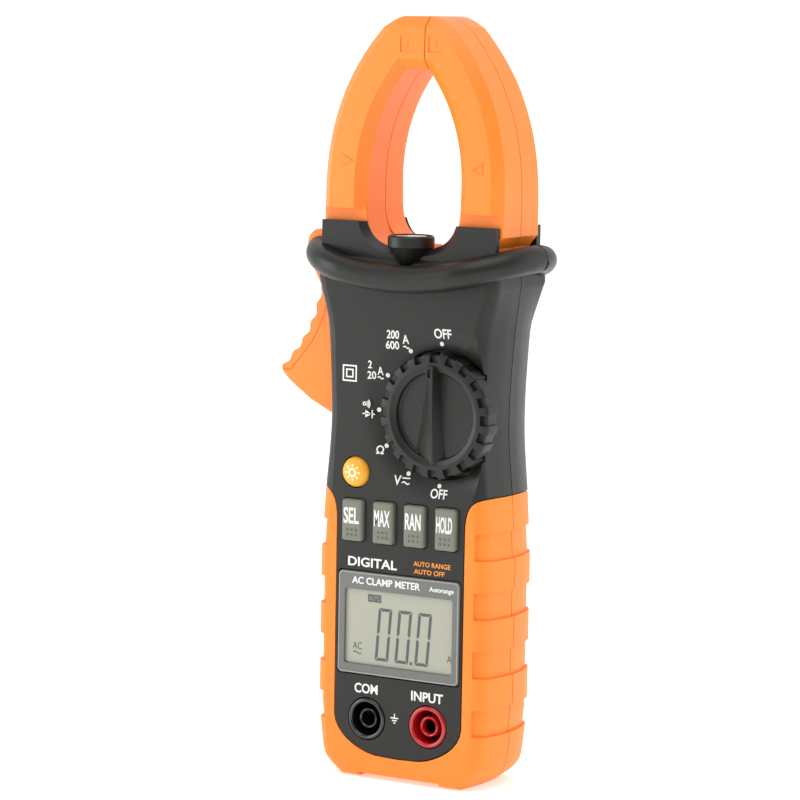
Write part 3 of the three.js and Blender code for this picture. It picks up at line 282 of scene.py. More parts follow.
# ------------------------------------------------------------------ mesh helpers
class Bench:
    """Makes, cuts and finishes meshes. Every object stays at the origin, unturned."""

    @staticmethod
    def keep(name: str, bm: bmesh.types.BMesh) -> bpy.types.Object:
        """Turns a bmesh into a linked object.

        Args:
            name: Name of the object and its mesh.
            bm: The bmesh, which is freed.

        Returns:
            The new object.
        """
        bmesh.ops.recalc_face_normals(bm, faces=bm.faces)
        mesh = bpy.data.meshes.new(name)
        bm.to_mesh(mesh)
        bm.free()
        piece = bpy.data.objects.new(name, mesh)
        bpy.context.scene.collection.objects.link(piece)
        return piece

    @staticmethod
    def prism(
        name: str, outline: Sequence[Point], y: tuple[float, float], rounding: float = 0.0,
        segments: int = 1, ends: str = "both",
    ) -> bpy.types.Object:
        """Extrudes an outline in the XZ plane along Y.

        Args:
            name: Name of the piece.
            outline: Points of the outline.
            y: Front and back of the prism.
            rounding: Size of the bevel round its end faces.
            segments: Steps in that bevel; 1 gives a flat chamfer.
            ends: Which ends are bevelled: both, front or back.

        Returns:
            The new object.
        """
        bm = bmesh.new()
        corners = [bm.verts.new((x * MM, y[0] * MM, z * MM)) for x, z in outline]
        face = bm.faces.new(corners)
        grown = bmesh.ops.extrude_face_region(bm, geom=[face])["geom"]
        moved = [item for item in grown if isinstance(item, bmesh.types.BMVert)]
        bmesh.ops.translate(bm, verts=moved, vec=(0, (y[1] - y[0]) * MM, 0))
        if rounding:
            wanted = {"both": y, "front": y[:1], "back": y[1:]}[ends]
            edges = [
                edge for edge in bm.edges
                if any(all(abs(v.co.y - level * MM) < 1e-7 for v in edge.verts) for level in wanted)
            ]
            bmesh.ops.bevel(
                bm, geom=edges, offset=rounding * MM, segments=segments, profile=0.5,
                affect="EDGES", material=-1, clamp_overlap=False,
            )
        return Bench.keep(name, bm)

    @staticmethod
    def loft(name: str, rings: Sequence[tuple[Outline, float]]) -> bpy.types.Object:
        """Joins outlines of equal length, each at its own place along Y.

        Args:
            name: Name of the piece.
            rings: Outlines with their places, from front to back.

        Returns:
            The new object, closed at both ends.
        """
        bm = bmesh.new()
        loops = [[bm.verts.new((x * MM, y * MM, z * MM)) for x, z in outline] for outline, y in rings]
        for near, far in zip(loops, loops[1:]):
            for i in range(len(near)):
                j = (i + 1) % len(near)
                bm.faces.new((near[i], near[j], far[j], far[i]))
        bm.faces.new(loops[0])
        bm.faces.new(loops[-1])
        return Bench.keep(name, bm)

    @staticmethod
    def box(name: str, x: Point, y: Point, z: Point) -> bpy.types.Object:
        """Makes a block.

        Args:
            name: Name of the piece.
            x: Left and right.
            y: Front and back.
            z: Bottom and top.

        Returns:
            The new object.
        """
        bm = bmesh.new()
        bmesh.ops.create_cube(bm, size=1.0)
        spans = [(high - low) * MM for low, high in (x, y, z)]
        middle = Vector([(low + high) / 2 * MM for low, high in (x, y, z)])
        bmesh.ops.scale(bm, vec=spans, verts=bm.verts)
        bmesh.ops.translate(bm, vec=middle, verts=bm.verts)
        return Bench.keep(name, bm)

    @staticmethod
    def turned(
        name: str, profile: Sequence[Point], centre: tuple[float, float, float],
        steps: int = 64, upright: bool = False,
    ) -> bpy.types.Object:
        """Spins a profile about a line parallel to Y, or to Z when upright.

        Args:
            name: Name of the piece.
            profile: Points as (radius, place along the line), from axis to axis or closed.
            centre: A point on the line; its part along the line is added to the profile.
            steps: Steps in the turn.
            upright: Whether the line is vertical.

        Returns:
            The new object.
        """
        bm = bmesh.new()
        points = []
        for radius, along in profile:
            spot = (radius, 0, along) if upright else (radius, along, 0)
            points.append(bm.verts.new((Vector(spot) + Vector(centre)) * MM))
        edges = [bm.edges.new(pair) for pair in zip(points, points[1:])]
        if profile[0][0] > 0:
            edges.append(bm.edges.new((points[-1], points[0])))
        bmesh.ops.spin(
            bm, geom=[*points, *edges], cent=Vector(centre) * MM, axis=(0, 0, 1) if upright else (0, 1, 0),
            angle=2 * math.pi, steps=steps, use_merge=True,
        )
        bmesh.ops.remove_doubles(bm, verts=bm.verts, dist=1e-7)
        return Bench.keep(name, bm)

    @staticmethod
    def rod(name: str, centre: Point, radius: float, y: Point, steps: int = 48) -> bpy.types.Object:
        """Makes a round bar along Y.

        Args:
            name: Name of the piece.
            centre: Its place in X and Z.
            radius: Its radius.
            y: Front and back.
            steps: Steps round it.

        Returns:
            The new object.
        """
        return Bench.prism(name, arc(centre, radius, 0, 360 - 360 / steps, steps - 1), y)

    @staticmethod
    def tube(name: str, path: Sequence[Vector], radius: float, sides: int = 5) -> bpy.types.Object:
        """Sweeps a round section along a path.

        Args:
            name: Name of the piece.
            path: Points of the path in millimetres.
            radius: Radius of the section.
            sides: Fineness of the section.

        Returns:
            The new object, with closed ends.
        """
        curve = bpy.data.curves.new(name, "CURVE")
        curve.dimensions = "3D"
        curve.bevel_depth = radius * MM
        curve.bevel_resolution = sides
        curve.use_fill_caps = True
        spline = curve.splines.new("POLY")
        spline.points.add(len(path) - 1)
        for place, spot in zip(spline.points, path):
            place.co = (*(spot * MM), 1)
        return Bench.to_mesh(name, curve)

    @staticmethod
    def to_mesh(name: str, data: bpy.types.Curve, place: Matrix | None = None) -> bpy.types.Object:
        """Turns a curve or a text into a plain mesh object, then places it.

        Args:
            name: Name of the piece.
            data: The curve or text, which is removed.
            place: Where its mesh goes.

        Returns:
            The new object.
        """
        holder = bpy.data.objects.new(f"{name}_line", data)
        bpy.context.scene.collection.objects.link(holder)
        bpy.context.view_layer.update()
        shaped = holder.evaluated_get(bpy.context.evaluated_depsgraph_get())
        mesh = bpy.data.meshes.new_from_object(shaped)
        bpy.data.objects.remove(holder)
        bpy.data.curves.remove(data)
        if place:
            mesh.transform(place)
        bm = bmesh.new()
        bm.from_mesh(mesh)
        bpy.data.meshes.remove(mesh)
        bmesh.ops.remove_doubles(bm, verts=bm.verts, dist=1e-7)
        return Bench.keep(name, bm)

    @staticmethod
    def apply(piece: bpy.types.Object) -> bpy.types.Object:
        """Fixes a piece's modifiers into its mesh."""
        bpy.context.view_layer.update()
        shaped = piece.evaluated_get(bpy.context.evaluated_depsgraph_get())
        mesh = bpy.data.meshes.new_from_object(shaped)
        old = piece.data
        piece.modifiers.clear()
        piece.data = mesh
        bpy.data.meshes.remove(old)
        return piece

    @staticmethod
    def shape(piece: bpy.types.Object, how: Cut, *tools: bpy.types.Object) -> bpy.types.Object:
        """Cuts or joins a piece with tools, which are used up.

        Args:
            piece: The piece to change.
            how: What the tools do to it.
            tools: The tools.

        Returns:
            The changed piece.
        """
        for tool in tools:
            step = piece.modifiers.new("cut", "BOOLEAN")
            step.operation = how.value
            step.solver = "EXACT"
            step.object = tool
        Bench.apply(piece)
        for tool in tools:
            mesh = tool.data
            bpy.data.objects.remove(tool)
            bpy.data.meshes.remove(mesh)
        return piece

    @staticmethod
    def clean(piece: bpy.types.Object, angle: float = 0.5) -> None:
        """Merges doubles and dissolves needless edges on flat faces.

        Args:
            piece: The piece to clean.
            angle: Largest turn in degrees that still counts as flat.
        """
        bm = bmesh.new()
        bm.from_mesh(piece.data)
        bmesh.ops.remove_doubles(bm, verts=bm.verts, dist=2e-6)
        bmesh.ops.dissolve_degenerate(bm, edges=bm.edges, dist=2e-6)
        bmesh.ops.dissolve_limit(
            bm, angle_limit=math.radians(angle), verts=bm.verts, edges=bm.edges,
            use_dissolve_boundaries=False,
        )
        bm.to_mesh(piece.data)
        bm.free()

    @staticmethod
    def soften(
        piece: bpy.types.Object, width: float, angle: float = 32.0, segments: int = 2,
    ) -> bpy.types.Object:
        """Rounds a piece's sharp edges a little and shades it smooth.

        Args:
            piece: The piece to finish.
            width: Width of the rounding.
            angle: Edges sharper than this many degrees are rounded.
            segments: Steps in the rounding.

        Returns:
            The same piece.
        """
        Bench.clean(piece)
        piece.data.polygons.foreach_set("use_smooth", [True] * len(piece.data.polygons))
        if width:
            step = piece.modifiers.new("soft edges", "BEVEL")
            step.width = width * MM
            step.segments = segments
            step.limit_method = "ANGLE"
            step.angle_limit = math.radians(angle)
            step.miter_outer = "MITER_ARC"
            step.use_clamp_overlap = True
            step.harden_normals = False
            Bench.apply(piece)
        piece.data.set_sharp_from_angle(angle=math.radians(38))
        if width:
            even = piece.modifiers.new("even shading", "WEIGHTED_NORMAL")
            even.mode = "FACE_AREA"
            even.weight = 50
            even.keep_sharp = True
            Bench.apply(piece)
        return piece

    @staticmethod
    def join(name: str, pieces: Iterable[bpy.types.Object]) -> bpy.types.Object:
        """Puts several loose pieces in one object.

        Args:
            name: Name of the joined piece.
            pieces: The pieces, which are used up.

        Returns:
            The joined piece.
        """
        bm = bmesh.new()
        for piece in pieces:
            bm.from_mesh(piece.data)
            mesh = piece.data
            bpy.data.objects.remove(piece)
            bpy.data.meshes.remove(mesh)
        mesh = bpy.data.meshes.new(name)
        bm.to_mesh(mesh)
        bm.free()
        whole = bpy.data.objects.new(name, mesh)
        bpy.context.scene.collection.objects.link(whole)
        return whole

    @staticmethod
    def move_points(piece: bpy.types.Object, change) -> None:
        """Moves every point of a piece by a function of its place in millimetres."""
        for vertex in piece.data.vertices:
            vertex.co = Vector(change(*(vertex.co / MM))) * MM


# ------------------------------------------------------------------ shader maths
class Signal:
    """Wraps a node's output so that Python expressions add Math nodes."""

    def __init__(self, paint: "Paint", socket: bpy.types.NodeSocket) -> None:
        """Keeps the socket and the paint that it belongs to."""
        self.paint = paint
        self.socket = socket

    def _math(self, operation: str, *values: "Signal | float") -> "Signal":
        """Adds one Math node on this signal and others."""
        node = self.paint.node("ShaderNodeMath", {"operation": operation}, *values)
        return Signal(self.paint, node.outputs[0])

    def __add__(self, other: "Signal | float") -> "Signal":
        """Adds."""
        return self._math("ADD", self, other)

    __radd__ = __add__

    def __mul__(self, other: "Signal | float") -> "Signal":
        """Multiplies."""
        return self._math("MULTIPLY", self, other)

    __rmul__ = __mul__

    def __sub__(self, other: "Signal | float") -> "Signal":
        """Subtracts."""
        return self._math("SUBTRACT", self, other)

    def __rsub__(self, other: float) -> "Signal":
        """Subtracts from a number."""
        return self._math("SUBTRACT", other, self)

    def power(self, exponent: float) -> "Signal":
        """Raises to a power."""
        return self._math("POWER", self, exponent)


class Paint:
    """Builds one material from a few grain, wear and colour settings."""

    def __init__(self, name: str) -> None:
        """Starts an empty material with a Principled shader."""
        self.material = bpy.data.materials.new(name)
        self.material.use_nodes = True
        self.tree = self.material.node_tree
        self.shader = next(n for n in self.tree.nodes if n.type == "BSDF_PRINCIPLED")
        coordinates = self.tree.nodes.new("ShaderNodeTexCoord")
        self.place = coordinates.outputs["Object"]

    def node(self, kind: str, settings: dict | None = None, *values, **named) -> bpy.types.Node:
        """Adds a node.

        Args:
            kind: The node's type.
            settings: Attributes that are set before its sockets.
            values: Values or links of its sockets, in order.
            named: Values or links of its sockets by name, with _ for a space.

        Returns:
            The new node.
        """
        node = self.tree.nodes.new(kind)
        for key, value in (settings or {}).items():
            setattr(node, key, value)
        for index, value in enumerate(values):
            self.feed(node.inputs[index], value)
        for key, value in named.items():
            self.feed(node.inputs[key.replace("_", " ")], value)
        return node

    def feed(self, socket: bpy.types.NodeSocket, value) -> None:
        """Links a signal or sets a value on a socket."""
        if isinstance(value, Signal):
            value = value.socket
        if isinstance(value, bpy.types.NodeSocket):
            self.tree.links.new(value, socket)
        else:
            socket.default_value = value

    def noise(self, size: float, detail: float = 2.0, roughness: float = 0.5) -> Signal:
        """Noise whose blotches are about size millimetres across."""
        node = self.node(
            "ShaderNodeTexNoise", None, Vector=self.place, Scale=1 / (size * MM), Detail=detail,
            Roughness=roughness,
        )
        return Signal(self, node.outputs["Fac"])

    def mix(self, factor: Signal | float, low, high) -> bpy.types.NodeSocket:
        """Mixes two colours."""
        node = self.node("ShaderNodeMix", {"data_type": "RGBA"})
        self.feed(node.inputs["Factor"], factor)
        self.feed(node.inputs["A"], low)
        self.feed(node.inputs["B"], high)
        return node.outputs["Result"]

    def stretch(self, signal: Signal, low: float, high: float, to_low: float, to_high: float) -> Signal:
        """Maps one span of a signal onto another and holds it there."""
        node = self.node("ShaderNodeMapRange", {"clamp": True}, signal, low, high, to_low, to_high)
        return Signal(self, node.outputs[0])

    def bump(self, height: Signal, strength: float, distance: float) -> None:
        """Feeds a height of a few hundredths of a millimetre to the shader's normal."""
        node = self.node("ShaderNodeBump", None, Strength=strength, Distance=distance * MM, Height=height)
        self.feed(self.shader.inputs["Normal"], node.outputs[0])


@dataclass(frozen=True)
class Plastic:
    """A moulded finish: colour, sheen, grain and the wear that handling leaves."""

    name: str
    colour: Colour
    roughness: float = 0.45
    grain_size: float = 0.35
    grain_height: float = 0.02
    grain_strength: float = 0.35
    blotch: float = 0.06
    coat: float = 0.0
    coat_roughness: float = 0.2
    metal: float = 0.0
    subsurface: float = 0.0
    specular: float = 0.5

    def make(self) -> bpy.types.Material:
        """Builds the material."""
        paint = Paint(self.name)
        shader = paint.shader
        broad = paint.noise(28.0, 3.0)
        fine = paint.noise(self.grain_size, 2.0, 0.6)
        worn = paint.stretch(paint.noise(9.0, 4.0, 0.65), 0.35, 0.7, 0.0, 1.0)
        dark = tuple(c * (1 - self.blotch) for c in self.colour) + (1,)
        light = tuple(min(1.0, c * (1 + self.blotch)) for c in self.colour) + (1,)
        tone = paint.mix(paint.stretch(broad, 0.3, 0.7, 0, 1), dark, light)
        paint.feed(shader.inputs["Base Color"], tone)
        rough = worn * 0.07 + (fine * 0.06 + (self.roughness - 0.06))
        paint.feed(shader.inputs["Roughness"], rough)
        paint.bump(fine, self.grain_strength, self.grain_height)
        shader.inputs["Metallic"].default_value = self.metal
        shader.inputs["Coat Weight"].default_value = self.coat
        shader.inputs["Coat Roughness"].default_value = self.coat_roughness
        shader.inputs["Specular IOR Level"].default_value = self.specular
        if self.subsurface:
            shader.inputs["Subsurface Weight"].default_value = self.subsurface
            shader.inputs["Subsurface Radius"].default_value = (1.0, 0.35, 0.1)
            shader.inputs["Subsurface Scale"].default_value = 0.0015
        return paint.material


@dataclass(frozen=True)
class Glassy:
    """A clear moulded finish."""

    name: str
    colour: Colour
    roughness: float = 0.04
    transmission: float = 1.0
    alpha: float = 1.0

    def make(self) -> bpy.types.Material:
        """Builds the material."""
        paint = Paint(self.name)
        shader = paint.shader
        smear = paint.stretch(paint.noise(12.0, 3.0), 0.4, 0.7, 0.0, 0.06)
        shader.inputs["Base Color"].default_value = (*self.colour, 1)
        paint.feed(shader.inputs["Roughness"], smear + self.roughness)
        shader.inputs["Transmission Weight"].default_value = self.transmission
        shader.inputs["Alpha"].default_value = self.alpha
        shader.inputs["IOR"].default_value = 1.46
        return paint.material


class Finishes:
    """Every finish of the meter, made once."""

    def __init__(self) -> None:
        """Builds all materials."""
        table = [
            Plastic("dark shell", (0.0105, 0.0108, 0.009), 0.4, 0.32, 0.02, 0.4, 0.07, 0.04, 0.3,
                    specular=0.36),
            Plastic("guard shell", (0.012, 0.0123, 0.0105), 0.34, 0.4, 0.012, 0.25, 0.05, 0.15, 0.3,
                    specular=0.45),
            Plastic("jaw orange", (0.97, 0.235, 0.014), 0.42, 0.5, 0.012, 0.25, 0.03, 0.08, 0.35, 0, 0.05),
            Plastic("soft orange", (1.0, 0.235, 0.012), 0.52, 0.28, 0.02, 0.35, 0.03, 0.0, 0.3, 0, 0.05),
            Plastic("mark orange", (0.9, 0.16, 0.01), 0.5, 0.4, 0.01, 0.2, 0.03),
            Plastic("key rubber", (0.165, 0.178, 0.132), 0.5, 0.25, 0.015, 0.3, 0.05, 0.05, 0.4),
            Plastic("key pips", (0.12, 0.13, 0.1), 0.4, 0.25, 0.015, 0.3, 0.05, 0.05, 0.4),
            Plastic("yellow key", (0.92, 0.42, 0.02), 0.38, 0.3, 0.01, 0.2, 0.04, 0.2, 0.25, 0, 0.1),
            Plastic("sun white", (0.95, 0.9, 0.68), 0.5, 0.4, 0.01, 0.2, 0.03),
            Plastic("print white", (0.82, 0.83, 0.8), 0.55, 0.2, 0.005, 0.2, 0.03),
            Plastic("print orange", (0.9, 0.3, 0.03), 0.55, 0.2, 0.005, 0.2, 0.03),
            Plastic("print black", (0.012, 0.012, 0.012), 0.55, 0.2, 0.005, 0.2, 0.03),
            Plastic("gloss black", (0.006, 0.006, 0.006), 0.2, 0.5, 0.004, 0.2, 0.05, 0.6, 0.08),
            Plastic("gloss red", (0.45, 0.005, 0.01), 0.2, 0.5, 0.004, 0.2, 0.05, 0.6, 0.08),
            Plastic("pane frame", (0.12, 0.125, 0.112), 0.3, 0.6, 0.004, 0.15, 0.04, 0.5, 0.1),
            Plastic("pane edge", (0.3, 0.31, 0.29), 0.22, 0.6, 0.004, 0.15, 0.04, 0.6, 0.08),
            Plastic("screen", (0.36, 0.365, 0.285), 0.35, 0.8, 0.003, 0.1, 0.03, 0.5, 0.1),
            Plastic("segments", (0.055, 0.062, 0.068), 0.4, 0.8, 0.003, 0.1, 0.03, 0.5, 0.1),
            Plastic("steel", (0.5, 0.51, 0.53), 0.3, 0.25, 0.006, 0.2, 0.1, 0, 0.1, 1.0),
            Plastic("core steel", (0.22, 0.23, 0.25), 0.45, 0.35, 0.02, 0.4, 0.15, 0, 0.1, 1.0),
            Plastic("brass", (0.62, 0.42, 0.16), 0.28, 0.3, 0.004, 0.2, 0.08, 0, 0.1, 1.0),
            Plastic("white plastic", (0.75, 0.75, 0.71), 0.5),
            Plastic("board green", (0.015, 0.11, 0.045), 0.35, 0.4, 0.01, 0.3, 0.1, 0.3, 0.15),
            Plastic("black rubber", (0.015, 0.015, 0.015), 0.7, 0.3, 0.02, 0.4),
            Plastic("cell sleeve", (0.03, 0.08, 0.2), 0.3, 0.5, 0.004, 0.2, 0.05, 0.4, 0.1),
        ]
        self.made = {finish.name: finish.make() for finish in table}
        self.made["clear lens"] = Glassy("clear lens", (0.94, 0.96, 0.97)).make()
        self.made["floor"] = Plastic("floor", (0.97, 0.97, 0.97), 0.7, 0.5, 0.01, 0.1, 0.005).make()

    def dress(self, piece: bpy.types.Object, *names: str) -> None:
        """Gives a piece its materials, in slot order."""
        piece.data.materials.clear()
        for name in names:
            piece.data.materials.append(self.made[name])


class Slots:
    """The record's material slot that each finish of a new piece belongs to."""

    TABLE = {
        "dark shell": "dark_shell", "guard shell": "dark_shell", "jaw orange": "jaw_orange",
        "soft orange": "soft_orange", "mark orange": "jaw_orange",
        "key rubber": "key_rubber", "key pips": "key_rubber",
        "yellow key": "yellow_key", "sun white": "yellow_key", "print white": "white_plastic",
        "print orange": "jaw_orange", "print black": "black_plastic", "gloss black": "black_plastic",
        "gloss red": "red_plastic", "pane frame": "window_pane", "pane edge": "window_pane",
        "screen": "lcd_glass", "segments": "lcd_glass", "steel": "steel", "core steel": "core_steel",
        "brass": "brass", "clear lens": "clear_lens", "white plastic": "white_plastic",
    }


class Builder:
    """What every sub-assembly shares: finishes and a way to hand over a finished piece."""

    def __init__(self, finishes: Finishes) -> None:
        """Keeps the finishes."""
        self.finishes = finishes

    def place(
        self, piece: bpy.types.Object, body: Body, finish: str, *nodes: str,
    ) -> bpy.types.Object:
        """Dresses a piece, lets it ride on its body and hides the CAD nodes that it stands for.

        Args:
            piece: The finished piece.
            body: The body that carries it.
            finish: Name of its finish.
            nodes: CAD nodes that it replaces.

        Returns:
            The same piece.
        """
        self.finishes.dress(piece, finish)
        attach(piece, body.value)
        if nodes:
            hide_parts(*nodes)
        LOG.info("%s: %d faces on %s", piece.name, len(piece.data.polygons), body.value)
        return piece


# ------------------------------------------------------------------ shared outlines
def case_outline(inset: float) -> Outline:
    """Outline of the whole case.

    Args:
        inset: How far to pull the outline in.

    Returns:
        The outline, anticlockwise from the right foot.
    """
    middle = (S.waist_half + S.shoulder_half) / 2 - 0.6
    foot = through([(S.foot_half, 0), (S.grip_half - 2.6, S.grip_bottom_z / 2),
                    (S.grip_half - 1, S.grip_bottom_z + 2), (S.grip_half, 20)], 5)
    waist = through([(S.seam_half, S.seam_z), (S.waist_half, S.waist_z), (middle, S.waist_z + 21),
                     (S.shoulder_half, S.shoulder_z)], 9)
    side = [*foot, (S.grip_half, 62), *waist, (S.shoulder_half, S.collar_z)]
    return mirrored([(x - inset, z + inset if z < S.grip_bottom_z else z) for x, z in side])


def grip_zone(gap: float) -> Outline:
    """Outline of everything that the grips cover.

    Args:
        gap: How far its edge stands away from the dark panel.

    Returns:
        The outline, anticlockwise.
    """
    edge = S.panel_half - gap
    shoulder = bezier((edge + 6, S.seam_z + gap), (edge + 1.6, S.seam_z - 0.4), (edge, 76.6), (edge, 71), 8)
    heel = bezier((edge, 17), (edge - 0.3, 11.6 + gap), (edge - 7, 7.6 + gap), (edge - 13, 6.6 + gap), 8)
    right = [*shoulder, *heel, (0, S.panel_bottom + gap)]
    left = [(-x, z) for x, z in reversed(right[:-1])]
    far = S.far
    return [(far, S.seam_z + gap), *right, *left, (-far, S.seam_z + gap), (-far, -far), (far, -far)]


def arch_outline(inset: float, steps: int = 22) -> Outline:
    """Outline of both jaws together.

    Args:
        inset: How far to pull both edges into the wall.
        steps: Steps along each curve.

    Returns:
        The outline, anticlockwise from the right foot.
    """
    jaw = JAW
    outer = bezier((jaw.half_width - inset, jaw.foot + 4), (jaw.half_width - inset, jaw.foot + 22),
                   (jaw.half_width - 5 - inset, jaw.top - 16), (11 - inset / 2, jaw.top - 3 - inset), steps)
    side = S.window_half + inset
    inner = bezier((3.5 + inset, jaw.window_top + inset * 0.6), (side - 4.1, jaw.window_top - 8.5),
                   (side, jaw.window_top - 19), (side, jaw.window_top - 31), steps)
    foot = jaw.foot - 6
    top = jaw.top - inset
    crest = bezier(outer[-1], (9.4, top - 2.2), (7.4, top - 0.4), (4.4, top), 8)
    over = [(jaw.half_width - inset, foot), *outer, *crest[1:]]
    under = [*inner, (side, foot)]
    back = [(-x, z) for x, z in reversed(over)]
    return [*over, *back, *[(-x, z) for x, z in reversed(under)], *under]


def narrowed(x: float, y: float, z: float) -> tuple[float, float, float]:
    """Draws a point of the case in towards its front or back face.

    Args:
        x: Place across the case.
        y: Place between front and back.
        z: Height.

    Returns:
        The point on the narrowed case.
    """
    ahead = y < S.parting_y
    face, loss = (S.front_y, S.front_draft) if ahead else (S.back_y, S.back_draft)
    way = (y - S.parting_y) / (face - S.parting_y)
    fade = min(1.0, max(0.0, (S.shoulder_z - z) / S.draft_fade))
    return x * (1 - loss * way * way * fade), y, z


SLAB_RINGS = 9  # rings that carry the narrowing
RING_MARGIN = 0.4  # least distance from a ring to the edge rounding


def case_slab(
    name: str, inset: float, y: Point, rounding: float = 0.0, ends: str = "both",
) -> bpy.types.Object:
    """Makes a slab of the case that narrows towards its front and back.

    Args:
        name: Name of the piece.
        inset: How far to stand inside the case's outline.
        y: Front and back of the slab.
        rounding: Size of its edge rounding.
        ends: Which ends are rounded: both, front or back.

    Returns:
        The new object.
    """
    slab = Bench.prism(name, case_outline(inset), y, rounding, 6, ends)
    bm = bmesh.new()
    bm.from_mesh(slab.data)
    low, high = y[0] + rounding + RING_MARGIN, y[1] - rounding - RING_MARGIN
    for index in range(SLAB_RINGS):
        level = low + (high - low) * index / (SLAB_RINGS - 1)
        bmesh.ops.bisect_plane(bm, geom=[*bm.verts, *bm.edges, *bm.faces], plane_co=(0, level * MM, 0),
                               plane_no=(0, 1, 0))
    bm.to_mesh(slab.data)
    bm.free()
    Bench.move_points(slab, narrowed)
    return slab


@dataclass(frozen=True)
class JawSizes:
    """Sizes of the jaws, in millimetres."""

    half_width: float = 28.0
    top: float = 208.0
    foot: float = 156.0
    window_top: float = 194.0
    split_x: float = 3.3
    half_thick: float = 12.1
    taper: float = 0.149
    chamfer: float = 2.8
    wall: float = 2.2
    core_half: float = 6.2
    lever_front: float = -7.0
    lever_back: float = 5.0


JAW = JawSizes()


# ------------------------------------------------------------------ case
@dataclass
class Case:
    """The two dark halves of the case with cheeks, guard, lamp cup and dial well."""

    builder: Builder
    cheek_chamfer: float = 1.7
    guard_radius: float = 3.75
    guard_half: float = 32.6
    guard_end: float = 16.5
    guard_z: float = 144.2
    guard_dip: float = 6.2
    cup_y: float = -11.3
    cup_radius: float = 6.35
    cup_top: float = 149.5
    dial: Point = (11.4, 101.8)
    well_radius: float = 17.5
    well_floor: float = -11.6
    dish_width: float = 6.6
    dish_depth: float = 1.75
    liner: float = 2.6
    lens_radius: float = 5.15

    def cheek_outline(self) -> Outline:
        """Outline of a cheek, with the saddle between the jaw necks."""
        right = [(S.cheek_half, S.shoulder_z), (S.cheek_half, S.cheek_top), *self.saddle(0)]
        return [*right, *[(-x, z) for x, z in reversed(right[:-1])]]

    def saddle(self, grow: float) -> Outline:
        """The right half of the saddle between the necks.

        Args:
            grow: How far to move it into the cheek.

        Returns:
            Points from the cheek's top to the middle.
        """
        line = bezier((S.window_half - 0.6, S.cheek_top), (12.6, S.saddle_z + 2.6), (9.2, S.saddle_z),
                      (0, S.saddle_z), 16)
        moved = []
        for i, (x, z) in enumerate(line):
            ahead = Vector(line[min(i + 1, 16)]) - Vector(line[max(i - 1, 0)])
            ahead.normalize()
            moved.append((x - ahead.y * grow, z + ahead.x * grow))
        moved[-1] = (0, S.saddle_z - grow)
        return moved

    def saddle_chamfer(self, half: Half) -> bpy.types.Object:
        """Makes the tool for the wide chamfer along the saddle of one cheek."""
        rings = []
        inner = S.neck_space[0] if half is Half.FRONT else S.neck_space[1]
        outside = inner + half.value * (S.cheek_thick + 0.5)
        wide = self.cheek_chamfer
        for grow, depth in ((wide + 0.5, -0.5), (0.0, wide)):
            line = self.saddle(grow)
            right = [(line[0][0] + 0.1, 170.0), *line]
            outline = [*right, *[(-x, z) for x, z in reversed(right[:-1])]]
            rings.append((outline, outside - half.value * (0.5 + depth)))
        return Bench.loft("chamfer", rings)

    def guard_path(self, half: Half) -> list[Vector]:
        """Centre line of the guard on one half.

        Args:
            half: Front or rear.

        Returns:
            Points of the line in millimetres.
        """
        straight = self.guard_half - self.guard_end
        length = straight + self.guard_end * math.pi / 2
        path = []
        for i in range(61):
            travel = (-1 + i / 30) * length
            along = abs(travel)
            x, y = along, self.guard_end
            if along > straight:
                turn = (along - straight) / self.guard_end
                x = straight + self.guard_end * math.sin(turn)
                y = self.guard_end * math.cos(turn)
            z = self.guard_z - self.guard_dip * (1 - (x / self.guard_half) ** 2)
            path.append(Vector((math.copysign(x, travel), S.parting_y + half.value * y, z)))
        return path

    def shell(self, half: Half) -> bpy.types.Object:
        """Builds the hollow shell of one half, with its cheek and guard.

        Args:
            half: Front or rear.

        Returns:
            The shell.
        """
        front = half is Half.FRONT
        split = S.parting_y + half.value * S.gap / 2
        outer_y = (S.front_y, split) if front else (split, S.back_y)
        ends = "front" if front else "back"
        lined = (outer_y[0] + self.liner, split) if front else (split, outer_y[1] - self.liner)
        body = case_slab(f"case_{half.word}", 0, outer_y, S.edge_round, ends)
        Bench.shape(body, Cut.AWAY, Bench.prism("zone", grip_zone(S.gap), (-30, 30)))
        under = case_slab("under", self.liner, lined)
        Bench.shape(under, Cut.KEEP, Bench.box("low", (-S.far, S.far), (-30, 30), (-9, S.seam_z + S.gap)))
        Bench.shape(body, Cut.JOIN, under)
        deep = self.liner + S.wall
        low = (S.front_y + deep, S.back_y - deep)
        high = (S.front_y + S.wall, S.back_y - S.wall)
        cavity = case_slab("cavity", deep, low)
        upper = case_slab("upper", S.wall, high)
        Bench.shape(upper, Cut.KEEP, Bench.box("up", (-S.far, S.far), (-30, 30), (S.seam_z + S.wall, 200)))
        collar = Bench.box("collar", (-26.4, 26.4), high, (S.shoulder_z, S.collar_z + 1))
        Bench.shape(body, Cut.AWAY, cavity, upper, collar)
        inner = S.neck_space[0] if front else S.neck_space[1]
        cheek_y = tuple(sorted((inner, inner + half.value * S.cheek_thick)))
        cheek = Bench.prism("cheek", self.cheek_outline(), cheek_y)
        Bench.shape(cheek, Cut.AWAY, self.saddle_chamfer(half))
        guard = Bench.tube("guard", self.guard_path(half), self.guard_radius, 8)
        webs = [Bench.box("web", tuple(sorted((side.value * 27.4, side.value * 30.6))), (-12.5, 10.5),
                          (141.2, 145.8)) for side in Side]
        Bench.shape(body, Cut.JOIN, cheek, guard, *webs)
        Bench.shape(
            body, Cut.AWAY,
            Bench.box("necks", (-26.4, 26.4), S.neck_space, (S.pivot_z - S.hub_radius - 2, 200)),
            Bench.box("swing", (-28.6, 28.6), S.neck_space, (S.pivot_z + 2, 200)),
            Bench.box("lever", (-50, -S.pivot_x), S.lever_slot, (S.lever_slot_bottom, S.cheek_top)),
            Bench.box("other half", (-50, 50), (split, 50) if front else (-50, split), (-1, 200)),
        )
        return body

